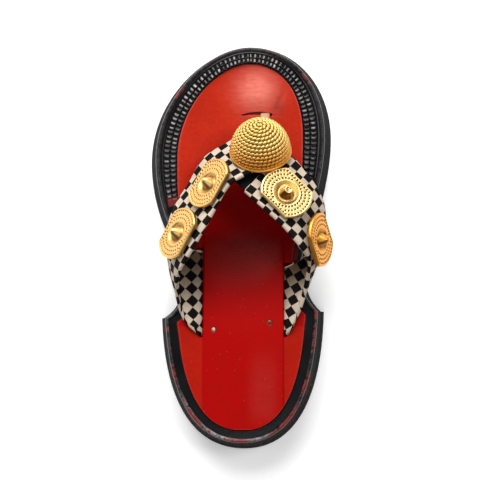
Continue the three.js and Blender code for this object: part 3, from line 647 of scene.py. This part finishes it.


# Insole: one red sheet with a raised middle panel, slits, long cuts and creases
def insole_grid():
    """Rows of points over the sheet, in columns that follow its slits, with the way to its edge."""
    outline = Outline(1.0)
    rim = outline.ring(SIDE_FLARE + outline.border + INSOLE_GAP, 0.0)
    front, rear = int(rim[:, 1].argmax()), int(rim[:, 1].argmin())
    low, high = rim[rear, 1], rim[front, 1]
    even = np.linspace(0, 1, INSOLE_ROWS)
    rows = low + (high - low) * (even + 0.5 * (0.5 - 0.5 * np.cos(math.pi * even) - even))[1:-1]
    # Rows set close together where the toe slit runs
    close = np.arange(TOE_SLIT[2] - 1.6, TOE_SLIT[2] + TOE_SLIT[3] + 1.6, TOE_SLIT_STEP)
    rows = np.sort(np.concatenate([rows[(rows < close[0] - 0.2) | (rows > close[-1] + 0.2)], close]))
    sides = []
    for step in (1, -1):
        count = (step * (rear - front)) % len(rim) + 1
        side = rim[(front + step * np.arange(count)) % len(rim)]
        side = side[np.argsort(side[:, 1])]
        sides.append(np.interp(rows, side[:, 1], side[:, 0]))
    left, right = sides
    anchors = (LATERAL_SLIT[0], PANEL_LEFT, PANEL_RIGHT, MEDIAL_SLIT[1])
    lines = [left]
    for k, anchor in enumerate(anchors):
        low_x, high_x = left + LEAST_SPAN * (k + 1), right - LEAST_SPAN * (len(anchors) - k)
        lines.append(np.clip(anchor, low_x, high_x))
    lines.append(right)
    columns = []
    for start, end, count in zip(lines, lines[1:], INSOLE_SPANS):
        columns += [start + share * (end - start) for share in np.arange(count) / count]
    x = np.stack(columns + [right], 1)
    y = np.repeat(rows[:, None], x.shape[1], 1)
    return x, y, np.minimum.reduce([x - left[:, None], right[:, None] - x, y - low, high - y])


def toe_slit(x, y):
    """The bowed slit that the toe post comes out of, wider at the post than at its left tip."""
    left, right, middle, bow = TOE_SLIT
    share = np.clip((x - left) / (right - left), 0, 1)
    half = 0.2 + 0.5 * smooth(share, 0, 0.6)
    away = np.abs(y - middle - 4 * bow * share * (1 - share))
    return between(x, (left, left + 1.5), (right - 1, right)) * (1 - smooth(away, half, half + 0.35))


def insole_relief(x, y):
    """Height over the flat sheet: panel, slits, cuts, the toe slit and creases."""
    inside = between(x, (PANEL_LEFT - 0.4, PANEL_LEFT + 0.4), (PANEL_RIGHT - 0.4, PANEL_RIGHT + 0.4))
    z = PANEL_RAISE * smooth(-y, -PANEL_FRONT, -PANEL_FLAT) * inside
    for left, right, front, rear in (LATERAL_SLIT, MEDIAL_SLIT):
        # The slit closes towards its rear end, from its outer side
        fill = 2.6 * smooth(-y, -rear - 22, -rear - 2)
        start, end = (left + fill, right) if left < 0 else (left, right - fill)
        across = between(x, (start, start + 0.5), (end - 0.3, end + 0.1))
        z -= SLIT_DEPTH * between(y, (rear + 1, rear + 2), (front - 1, front)) * across
    for cut in (PANEL_LEFT, PANEL_RIGHT):
        z -= 0.15 * bump(x, cut, 0.5) * (y < -66) * smooth(y, -128, -122)
    z -= TOE_SLIT_DEPTH * toe_slit(x, y)
    # Leather pushed up in a soft swell ahead of the slit, with a trough down its inner side
    z += 1.5 * bump(x, 12, 13) * bump(y, 108, 11) * (y > 94)
    z -= 0.9 * bump(x - 0.39 * (y - 98.8), 27, 2.2) * bump(y, 104, 9)
    return z


def insole_masks(x, y, edge):
    """Where the leather is pale (partly a painted sheen and highlight), dark (partly painted shade), scarlet
    and dusty, each with its value on the cut edge.
    """
    # Painted sheen: a pale patch on the swell ahead of the toe slit, and a faint paler patch at the heel
    rubbed = 0.85 * bump(x, 12, 14) * bump(y, 112, 15)
    rubbed += 0.045 * between(x, (2, 14), (20, 31)) * between(-y, (66, 100), (118, 136))
    # Paler along the cut edge: cut leather with a painted highlight, stronger towards the toe
    pale = (0.14 + 0.14 * smooth(y, -20, 60)) * (1 - smooth(edge, 0.4, 1.1)) + rubbed
    # Darker under the arch, where the foot has pressed the leather and painted shade stands for the straps'
    # shadow; painted shade in a crease beside the toe slit and in the slit itself
    arch_wear_and_shade = 0.8 * bump(x, 2, 38) * between(y, (-60, -6), (-2, 20))
    crease_shade = 0.45 * bump(x, 28, 4) * bump(y, 99, 5)
    dark = np.maximum(np.maximum(arch_wear_and_shade, crease_shade), toe_slit(x, y))
    # Crimson between the straps, scarlet ahead of them and on the flaps beside the panel
    flap = ((x < PANEL_LEFT) | (x > PANEL_RIGHT)) & (y < -60)
    outside = np.maximum(smooth(-x, 30, 42), smooth(x, 44, 52)) * smooth(y, -5, 45)
    warm = np.maximum(np.maximum(smooth(y, 34, 62), outside), 0.45 * flap)
    away = np.hypot(x - ARC_CENTRE[0], y - ARC_CENTRE[1])
    dust = 0.15 * between(away, (8, 16), (32, 46)) * (1 - smooth(y, -4, 8))
    dust *= (0.4 + 0.6 * smooth(x, 0, 24)) * between(x, (-30, -20), (27, 31))
    return {"pale": (pale, 0.5), "dark": (dark, 0), "warm": (warm, 1), "dust": (dust, 0)}


def make_insole():
    x, y, edge = insole_grid()
    z = top_level(y) + INSOLE_RISE + insole_relief(x, y)
    # A rounded edge, with two fine ripples inside it at the toe
    z -= EDGE_DROP * (1 - np.sqrt(1 - (1 - np.clip(edge / EDGE_REACH, 0, 1)) ** 2))
    z -= 0.12 * bump(x, 6, 16) * (y > 110) * (bump(edge, 2.6, 0.5) + bump(edge, 4.4, 0.5))
    points = np.stack([x, y, z], -1).reshape(-1, 3)
    index = np.arange(x.size).reshape(x.shape)
    quads = np.stack([index[:-1, :-1], index[:-1, 1:], index[1:, 1:], index[1:, :-1]], -1).reshape(-1, 4)
    loop = np.concatenate([index[0, :], index[1:, -1], index[-1, -2::-1], index[-2:0:-1, 0]])
    lower = np.arange(len(loop)) + x.size
    wall = np.stack([np.roll(loop, -1), loop, lower, np.roll(lower, -1)], -1)
    base = points[loop]
    base[:, 2] = top_level(base[:, 1]) - BORDER_HEIGHT + GAP
    faces = quads.tolist() + wall.tolist() + cap_faces(base, x.size, False)
    masks = {}
    for mask, (values, on_edge) in insole_masks(x, y, edge).items():
        masks[mask] = np.concatenate([values.ravel(), np.full(len(loop), on_edge)])
    make_piece("red_insole", np.concatenate([points, base]), faces, RED, "insole",
               masks=masks, crease=60)


# Straps: bands ruled between two smooth edges, with cloth flattened from each face
def catmull(points, along):
    """Points of a centripetal Catmull-Rom curve at shares of its rows."""
    p = np.array(points, float)
    p = np.concatenate([[2 * p[0] - p[1]], p, [2 * p[-1] - p[-2]]])
    place = np.clip(np.asarray(along, float), 0, 1) * (len(points) - 1)
    i = np.minimum(place.astype(int), len(points) - 2)
    w = (place - i)[:, None]
    p0, p1, p2, p3 = (p[i + k] for k in range(4))
    d0, d1, d2 = (np.maximum(np.linalg.norm(b - a, axis=1, keepdims=True) ** 0.5, 1e-4)
                  for a, b in ((p0, p1), (p1, p2), (p2, p3)))
    t1 = ((p1 - p0) / d0 - (p2 - p0) / (d0 + d1) + (p2 - p1) / d1) * d1
    t2 = ((p2 - p1) / d1 - (p3 - p1) / (d1 + d2) + (p3 - p2) / d2) * d1
    return p1 + t1 * w + (3 * (p2 - p1) - 2 * t1 - t2) * w ** 2 + (2 * (p1 - p2) + t1 + t2) * w ** 3


class Band:
    def __init__(self, rows, sign):
        self.front, self.rear, self.swell = zip(*rows)
        self.last = len(rows) - 1
        self.sign = sign

    def ruled(self, along, across):
        front, rear = catmull(self.front, along), catmull(self.rear, along)
        return front + (rear - front) * np.asarray(across, float)[:, None]

    def slopes(self, point, along, across):
        """Direction down the band, and straight out of it."""
        step = 1e-3
        down = point(np.minimum(along + step, 1), across) - point(np.maximum(along - step, 0), across)
        over = point(along, across + step) - point(along, across - step)
        out = self.sign * np.cross(down, over)
        return down, out / np.linalg.norm(out, axis=1, keepdims=True)

    def point(self, along, across):
        swell = np.interp(along, np.arange(self.last + 1) / self.last, self.swell)
        out = self.slopes(self.ruled, along, np.full_like(across, 0.5))[1]
        return self.ruled(along, across) + out * (swell * 4 * across * (1 - across))[:, None]

    def surface(self, along, across, offset):
        """Places at an offset from the middle layer."""
        out = self.slopes(self.point, along, across)[1]
        return self.point(along, across) + out * np.broadcast_to(offset, len(along))[:, None]


BANDS = {"lateral": Band(LATERAL_ROWS, 1), "medial": Band(MEDIAL_ROWS, -1), "lining": Band(LINING_ROWS, -1),
         "post": Band(POST_ROWS, 1)}


def flattened(face, index, held):
    """A sheet of points laid flat, as complex numbers: first keeping its angles, then its lengths."""
    halves = [(index[:-1, :-1], index[1:, :-1], index[1:, 1:]),
              (index[:-1, :-1], index[1:, 1:], index[:-1, 1:])]
    corners = np.concatenate([np.stack([k.ravel() for k in half], 1) for half in halves])
    first, second = (face[corners[:, k]] - face[corners[:, 0]] for k in (1, 2))
    length = np.linalg.norm(first, axis=1)
    ahead = (first * second).sum(1) / length
    aside = np.sqrt(np.maximum((second ** 2).sum(1) - ahead ** 2, 1e-9))
    local = np.stack([np.zeros(len(length)), length, ahead + 1j * aside], 1)
    weight = (np.roll(local, -2, 1) - np.roll(local, -1, 1)) / np.sqrt(length * aside)[:, None]
    system = np.zeros((len(corners), len(face)), complex)
    system[np.arange(len(corners))[:, None], corners] = weight
    free = np.setdiff1d(index, held)
    flat = np.zeros(len(face), complex)
    flat[held[1]] = np.linalg.norm(face[held[1]] - face[held[0]])
    flat[free] = np.linalg.lstsq(system[:, free], -system[:, held] @ flat[held], rcond=None)[0]
    pairs = [(index[:-1], index[1:]), (index[:, :-1], index[:, 1:]), (index[:-1, :-1], index[1:, 1:]),
             (index[1:, :-1], index[:-1, 1:])]
    threads = np.concatenate([np.stack([a.ravel(), b.ravel()], 1) for a, b in pairs]).T
    true = np.linalg.norm(face[threads[1]] - face[threads[0]], axis=1)
    for _ in range(RELAX_ROUNDS):
        apart = flat[threads[1]] - flat[threads[0]]
        pull = RELAX_PULL * apart * (1 - true / np.maximum(np.abs(apart), 1e-6))
        pulls = np.concatenate([pull, -pull])
        flat += np.bincount(threads.ravel(), pulls.real) + 1j * np.bincount(threads.ravel(), pulls.imag)
    return flat


def laid_cloth(band, offset, lay, along, across):
    """Places on the flat cloth for each point of one face of a strap. At one row the way across
    the strap has a given angle to the threads."""
    row, angle, scale, shift = lay
    rows, seats = np.linspace(0, 1 - 1.8 / band.last, 43), np.linspace(0.036, 0.964, 7)
    face = band.surface(np.repeat(rows, len(seats)), np.tile(seats, len(rows)), offset)
    index = np.arange(len(face)).reshape(len(rows), len(seats))
    held = index[int(np.argmin(np.abs(rows - row / band.last)))][[0, -1]]
    flat = flattened(face, index, held)
    turn = scale * np.exp(1j * (math.radians(angle) - np.angle(flat[held[1]] - flat[held[0]])))
    flat = ((flat - flat[held[0]]) * turn).reshape(index.shape) + complex(*shift)
    # Carried on past both edges and to the end of the band
    beyond = 0.2
    ahead = (flat[:, 1:2] - flat[:, :1]) * beyond / (seats[1] - seats[0])
    behind = (flat[:, -1:] - flat[:, -2:-1]) * beyond / (seats[1] - seats[0])
    flat = np.concatenate([flat[:, :1] - ahead, flat, flat[:, -1:] + behind], 1)
    seats = np.concatenate([[seats[0] - beyond], seats, [seats[-1] + beyond]])
    rest = (1 - rows[-1]) / (rows[-1] - rows[-2])
    flat = np.concatenate([flat, flat[-1:] + rest * (flat[-1:] - flat[-2:-1])])
    rows = np.append(rows, 1.0)
    laid = []
    for values in (flat.real, flat.imag):
        fine = np.stack([np.interp(along, rows, column) for column in values.T], 1)
        laid.append(np.concatenate([np.interp(across, seats, line) for line in fine]))
    return np.stack(laid, 1)


def make_strap(name, strap, count, size, lays, material, node, slot):
    band = BANDS[strap]
    thickness, width = size
    flats, rounds = STRAP_FLATS, STRAP_ROUNDS
    # Loop round the strap: share across it and side of its middle layer, with rounded edges
    edge = thickness / 2 / width
    flat = np.linspace(edge, 1 - edge, flats)
    turn = np.linspace(0, math.pi, rounds + 2)
    bend = turn[1:-1]
    across = np.concatenate([flat, 1 - edge + edge * np.sin(bend), flat[::-1], edge - edge * np.sin(bend)])
    side = np.concatenate([np.ones(flats), np.cos(bend), -np.ones(flats), -np.cos(bend)])
    length = len(across)
    along = np.linspace(0, 1, count)
    offset = np.tile(side, count) * thickness / 2
    points = band.surface(np.repeat(along, length), np.tile(across, count), offset)
    quads = np.array(ring_faces(count, length))
    caps = end_faces(count, length)
    uv = None
    if lays:
        # The outer cloth is carried round both edges, and the inner cloth lies between them
        spilled = across.copy()
        spilled[flats - 1:flats + rounds + 1] = 1 - edge + edge * turn
        spilled[-rounds - 1:] = edge - edge * turn[:0:-1]
        outer = laid_cloth(band, thickness / 2, lays[0], along, spilled)
        inner = laid_cloth(band, -thickness / 2, lays[1], along, across)
        column = quads[:, 0] % length
        inside = (column >= flats + rounds) & (column < 2 * flats + rounds - 1)
        uv = np.where(inside[:, None, None], inner[quads], outer[quads]).reshape(-1, 2)
        uv = np.concatenate([uv] + [outer[list(cap)] for cap in caps])
    # Painted shade on the inner face of the strap, darkest by its front edge
    painted_shade = 0.95 * np.tile((side < -0.9) * (1 - smooth(across, 0.1, 0.95)), count)
    make_piece(name, under_dome(points, np.tile(side, count)), quads.tolist() + caps, material, node,
               uv=uv, masks={"painted_shade": painted_shade}, crease=70)


# Band, steps along it, size, lay of the cloth, material, node and slot
STRAPS = {
    "strap_lateral": ("lateral", 220, STRAP_SIZE, LATERAL_LAYS, CLOTH, "straps", "check_cloth"),
    "strap_medial": ("medial", 220, STRAP_SIZE, MEDIAL_LAYS, CLOTH, "straps", "check_cloth"),
    "strap_lining": ("lining", 40, LINING_SIZE, None, SCUFFED, "straps", "black_leather"),
    "tan_toe_post": ("post", 40, POST_SIZE, None, TAN, "toe_post", "tan_leather"),
}

# Dome: its axis and two directions across it
DOME_AXIS = np.array([0, math.sin(DOME_LEAN), math.cos(DOME_LEAN)])
DOME_SIDE = np.array([1.0, 0, 0])
DOME_BACK = np.cross(DOME_AXIS, DOME_SIDE)


def under_dome(points, side):
    """Strap points pressed under the foot of the dome."""
    from_foot = points - DOME_FOOT
    height = from_foot @ DOME_AXIS
    radius = np.hypot(from_foot @ DOME_SIDE, from_foot @ DOME_BACK)
    limit = -GAP - (1 - side) * PRESSED_THICKNESS / 2
    over = np.where((radius < RIM_RADIUS + GAP) & (height > limit), height - limit, 0)
    return points - over[:, None] * DOME_AXIS


def dome_place(radius, angle, height):
    outward = np.multiply.outer(np.cos(angle), DOME_SIDE) + np.multiply.outer(np.sin(angle), DOME_BACK)
    return DOME_FOOT + radius * outward + height * DOME_AXIS


def unit_ball(sides, high):
    """A unit ball as rings and two tips."""
    rows = np.linspace(-math.pi / 2, math.pi / 2, high + 1)[1:-1]
    points = [(math.cos(r) * math.cos(t), math.cos(r) * math.sin(t), math.sin(r))
              for r in rows for t in circle(sides)]
    faces = ring_faces(len(rows), sides)
    low, top = len(points), len(points) + 1
    last = (len(rows) - 1) * sides
    for i in range(sides):
        after = (i + 1) % sides
        faces += [(after, i, low), (last + i, last + after, top)]
    return np.array(points + [(0, 0, -1), (0, 0, 1)]), faces


def make_dome():
    """A shell with a plain rim, covered with rings of beads."""
    tall = DOME_HEIGHT - RIM_HEIGHT
    profile = [(RIM_RADIUS + step, height) for step, height in RIM_PROFILE]
    for angle in np.linspace(0.04, math.pi / 2 - 0.03, SHELL_STEPS):
        profile.append(((DOME_RADIUS - SHELL_INSET) * math.cos(angle),
                        RIM_HEIGHT + (tall - SHELL_INSET) * math.sin(angle)))
    points = [dome_place(radius, circle(DOME_SIDES), height) for radius, height in profile]
    faces = ring_faces(len(profile), DOME_SIDES) + end_faces(len(profile), DOME_SIDES)
    hollow = [np.repeat([0.0] * len(RIM_PROFILE) + [0.9] * SHELL_STEPS, DOME_SIDES)]
    ball, ball_faces = unit_ball(BEAD_SIDES, BEAD_ROWS)
    ball_hollow = 0.8 * (1 - smooth(ball[:, 2], -0.2, 0.6))
    rise = np.linspace(0, math.pi / 2, 200)
    lengths = edge_run(np.stack([DOME_RADIUS * np.cos(rise), tall * np.sin(rise)], 1))
    first = len(profile) * DOME_SIDES
    for k in range(DOME_RINGS):
        angle = np.interp((k + 0.45) / (DOME_RINGS - 0.25) * lengths[-1], lengths, rise)
        radius = (DOME_RADIUS - BEAD_INSET) * math.cos(angle)
        height = RIM_HEIGHT + (tall - BEAD_INSET) * math.sin(angle)
        lean = np.array([math.cos(angle) / DOME_RADIUS, math.sin(angle) / tall])
        lean /= np.linalg.norm(lean)
        count = max(1, round(2 * math.pi * radius / BEAD_PITCH))
        pitch = 2 * math.pi * radius / count if count > 1 else BEAD_PITCH
        size = np.array([BEAD_LONG * pitch, BEAD_WIDE * lengths[-1] / DOME_RINGS, BEAD_HIGH])
        for turn in circle(count) + (k % 2) * math.pi / count:
            onward = -math.sin(turn) * DOME_SIDE + math.cos(turn) * DOME_BACK
            outward = math.cos(turn) * DOME_SIDE + math.sin(turn) * DOME_BACK
            out = lean[0] * outward + lean[1] * DOME_AXIS
            long = math.cos(BEAD_TWIST) * onward + math.sin(BEAD_TWIST) * np.cross(out, onward)
            turned_ball = (ball * size) @ np.stack([long, np.cross(out, long), out])
            points.append(dome_place(radius, turn, height) + turned_ball)
            hollow.append(ball_hollow)
            faces += [tuple(first + i for i in face) for face in ball_faces]
            first += len(ball)
    points = np.concatenate(points)
    # Painted shade and reflection: browner low down and towards the heel, with its hollows less dark there
    from_foot = points - DOME_FOOT
    low = 1 - smooth(from_foot @ DOME_AXIS + 0.4 * from_foot[:, 1], -2, 22)
    masks = {"hollow": np.concatenate(hollow) * (0.85 - 0.45 * low), "painted_brown": 0.8 * low}
    make_piece("beaded_dome", points, faces, CAST_GOLD, "dome", masks=masks, crease=60)


# Gold plates: a disc with two straight sides, rows of punched dots, a crater and a cone
def turned(vector, axis, degrees):
    a = math.radians(degrees)
    along = axis * (axis @ vector)
    return along + (vector - along) * math.cos(a) + np.cross(axis, vector) * math.sin(a)


def plate_reach(angle, inset):
    """How far a plate reaches each way, less an inset."""
    straight = (PLATE_HALF_WIDTH - inset) / np.maximum(np.abs(np.sin(angle)), 1e-6)
    return np.minimum(PLATE_RADIUS - inset, straight)


def around(radius, angle):
    return np.stack([radius * np.cos(angle), radius * np.sin(angle)], 1)


def dot_places():
    """Places of the punched dots: a row along the edge, and round rows inside it."""
    angle = np.linspace(0, 2 * math.pi, 721)
    places = [evenly(around(plate_reach(angle, DOT_INSET), angle), DOT_PITCH)]
    for row in DOT_ROWS:
        angle = circle(round(2 * math.pi * row / DOT_PITCH))
        angle = angle[row < plate_reach(angle, DOT_INSET) - 1.7]
        places.append(around(row, angle))
    return np.concatenate(places)


DOTS = dot_places()


def make_ornament(name, strap, row, across, turn, pitch, lift, tip, painted_brown):
    band = BANDS[strap]
    along, share = np.array([row / band.last]), np.array([across])
    down, out = (v[0] for v in band.slopes(band.point, along, share))
    foot = band.point(along, share)[0] + out * (STRAP_SIZE[0] / 2 + GAP + lift)
    down = turned(down / np.linalg.norm(down), out, turn)
    wide = np.cross(out, down)
    wide /= np.linalg.norm(wide)
    out = turned(out, wide, pitch)
    long = np.cross(wide, out)
    angle = circle(PLATE_SEGMENTS)
    reach = plate_reach(angle, 0)
    reach = (reach + np.roll(reach, 1) + np.roll(reach, -1)) / 3
    rings, hollow = [], []

    def add(radius, height, dark):
        flat = around(np.broadcast_to(radius, PLATE_SEGMENTS), angle)
        rings.append(np.column_stack([flat, np.broadcast_to(height, PLATE_SEGMENTS)]))
        hollow.append(np.broadcast_to(dark, PLATE_SEGMENTS))

    for come_in, height in PLATE_EDGE:
        add(reach - come_in, height, 0.55 * (height < 2.5))
    inner = CONES[tip][0][0]
    for s in np.linspace(1, 0, FACE_STEPS + 1)[:-1]:
        radius = inner + s * (reach - 0.9 - inner)
        away = np.linalg.norm(around(radius, angle)[:, None] - DOTS[None], axis=-1).min(1)
        dent = 1 - smooth(away, 0.2 * DOT_RADIUS, DOT_RADIUS)
        rim = 0.25 * bump(radius, reach - 1.2, 0.5) + 0.2 * bump(radius, inner + 0.9, 0.6)
        add(radius, PLATE_THICKNESS - DOT_DEPTH * dent + rim, 0.92 * smooth(dent, 0.03, 0.42))
    # Tarnish in the crater; painted shade on the flank of the cone that faces the heel, painted dark
    # reflections on the sides of the tube's crater, and painted shade in the tube's open end
    facing = around(1, angle) @ np.stack([long, wide]) @ np.array([-0.3, -0.95, 0])
    for radius, height in CONES[tip]:
        if tip == "tube":
            heel_flank_shade = smooth(facing, 0.1, 0.6) * (2.8 < radius < 5)
            deep = (0.2 + 0.6 * smooth(1 - facing ** 2, 0.3, 0.9)) * bump(radius, 6.4, 1.8)
            deep += 0.25 * (radius < 1.6)
        else:
            heel_flank_shade = 0.7 * smooth(facing, 0.3, 0.75) * (1.7 < radius < 6)
            deep = 0.65 * bump(radius, 6.0, 1.6)
        add(radius, height, np.maximum(heel_flank_shade, deep))
    top, top_dark = CONE_TOPS[tip]
    local = np.concatenate(rings + [[[0, 0, top]]])
    faces = ring_faces(len(rings), PLATE_SEGMENTS) + end_faces(len(rings), PLATE_SEGMENTS)[:1]
    last = (len(rings) - 1) * PLATE_SEGMENTS
    faces += [(last + i, last + (i + 1) % PLATE_SEGMENTS, len(local) - 1) for i in range(PLATE_SEGMENTS)]
    masks = {"hollow": np.concatenate(hollow + [[top_dark]]), "painted_brown": np.full(len(local), painted_brown)}
    points = foot + local @ np.stack([long, wide, out])
    make_piece("gold_plate_" + name, points, faces, GOLD, "ornament_" + name, masks=masks, crease=55)


# Nails: a worn crown in a dented, rusty ring
def make_nail(name, x, y, rust):
    level = float(top_level(y)) + INSOLE_RISE + PANEL_RAISE
    profile = NAIL_RING + [(radius, height, rust) for radius, height in NAIL_CROWN]
    rings = []
    for radius, height, _ in profile:
        flat = around(radius, circle(NAIL_SIDES)) + (x, y)
        rings.append(np.column_stack([flat, np.full(NAIL_SIDES, level + height)]))
    faces = ring_faces(len(rings), NAIL_SIDES) + end_faces(len(rings), NAIL_SIDES)
    masks = {"hollow": np.repeat([dark for _, _, dark in profile], NAIL_SIDES)}
    make_piece("iron_nail_" + name, np.concatenate(rings), faces, IRON, "nail_" + name,
               masks=masks)


make_sole()
make_heel()
make_welt()
make_insole()
for name, settings in STRAPS.items():
    make_strap(name, *settings)
make_dome()
for name, settings in ORNAMENTS.items():
    make_ornament(name, *settings)
for name, settings in NAILS.items():
    make_nail(name, *settings)

# Floor, light and camera, in metres
FLOOR_REACH = 4.0
LIGHT_TARGET, BOARD_TARGET = (0, 0, 0.03), (0, 0, 0.05)
LIGHTS = {
    # place, target, size, power
    "key_softbox": ((-0.2, 1.15, 0.9), LIGHT_TARGET, (1.2, 1.2), 36),
    "right_softbox": ((0.75, 0.25, 1.2), LIGHT_TARGET, (0.45, 0.45), 5),
    "fill_softbox": ((0.05, -0.55, 1.25), LIGHT_TARGET, (0.5, 0.5), 2.4),
    "left_board": ((-1.1, 0.1, 0.45), BOARD_TARGET, (0.8, 0.6), 3),
    "right_board": ((1.1, 0.3, 0.5), BOARD_TARGET, (0.8, 0.6), 0.45),
}
WORLD_STRENGTH = 0.15
CAMERA_LENS, CAMERA_SENSOR = 136.6, 36
CAMERA_AIM = (0, 0.0022, 0)  # from the middle of the part
CAMERA_STAND = (0.054, -0.111, 1.294)  # from what it aims at

scene = bpy.context.scene
floor_mesh = bpy.data.meshes.new("paper_floor")
corners = [(x * FLOOR_REACH, y * FLOOR_REACH, 0) for x, y in ((-1, -1), (1, -1), (1, 1), (-1, 1))]
floor_mesh.from_pydata(corners, [], [(0, 1, 2, 3)])
floor_mesh.materials.append(PAPER)
floor = bpy.data.objects.new("paper_floor", floor_mesh)
scene.collection.objects.link(floor)

world = bpy.data.worlds.new("studio")
scene.world = world
world.use_nodes = True
background = world.node_tree.nodes["Background"]
background.inputs["Color"].default_value = linear("#ffffff")
background.inputs["Strength"].default_value = WORLD_STRENGTH

for name, (place, target, size, power) in LIGHTS.items():
    light = bpy.data.lights.new(name, "AREA")
    light.shape = "RECTANGLE"
    light.size, light.size_y = size
    light.energy = power
    lamp = bpy.data.objects.new(name, light)
    scene.collection.objects.link(lamp)
    lamp.location = place
    lamp.rotation_euler = (Vector(target) - Vector(place)).to_track_quat("-Z", "Y").to_euler()

camera_data = bpy.data.cameras.new("camera")
camera_data.lens = CAMERA_LENS
camera_data.sensor_width = CAMERA_SENSOR
camera = bpy.data.objects.new("camera", camera_data)
scene.collection.objects.link(camera)
aim = (cad_box[0] + cad_box[1]) / 2 + Vector(CAMERA_AIM)
eye = aim + Vector(CAMERA_STAND)
forward = (aim - eye).normalized()
right = forward.cross((0, 1, 0)).normalized()
turn = Matrix((right, right.cross(forward), -forward)).transposed()
camera.matrix_world = Matrix.Translation(eye) @ turn.to_4x4()
bpy.context.scene.camera = camera
scene.view_settings.view_transform = "Standard"
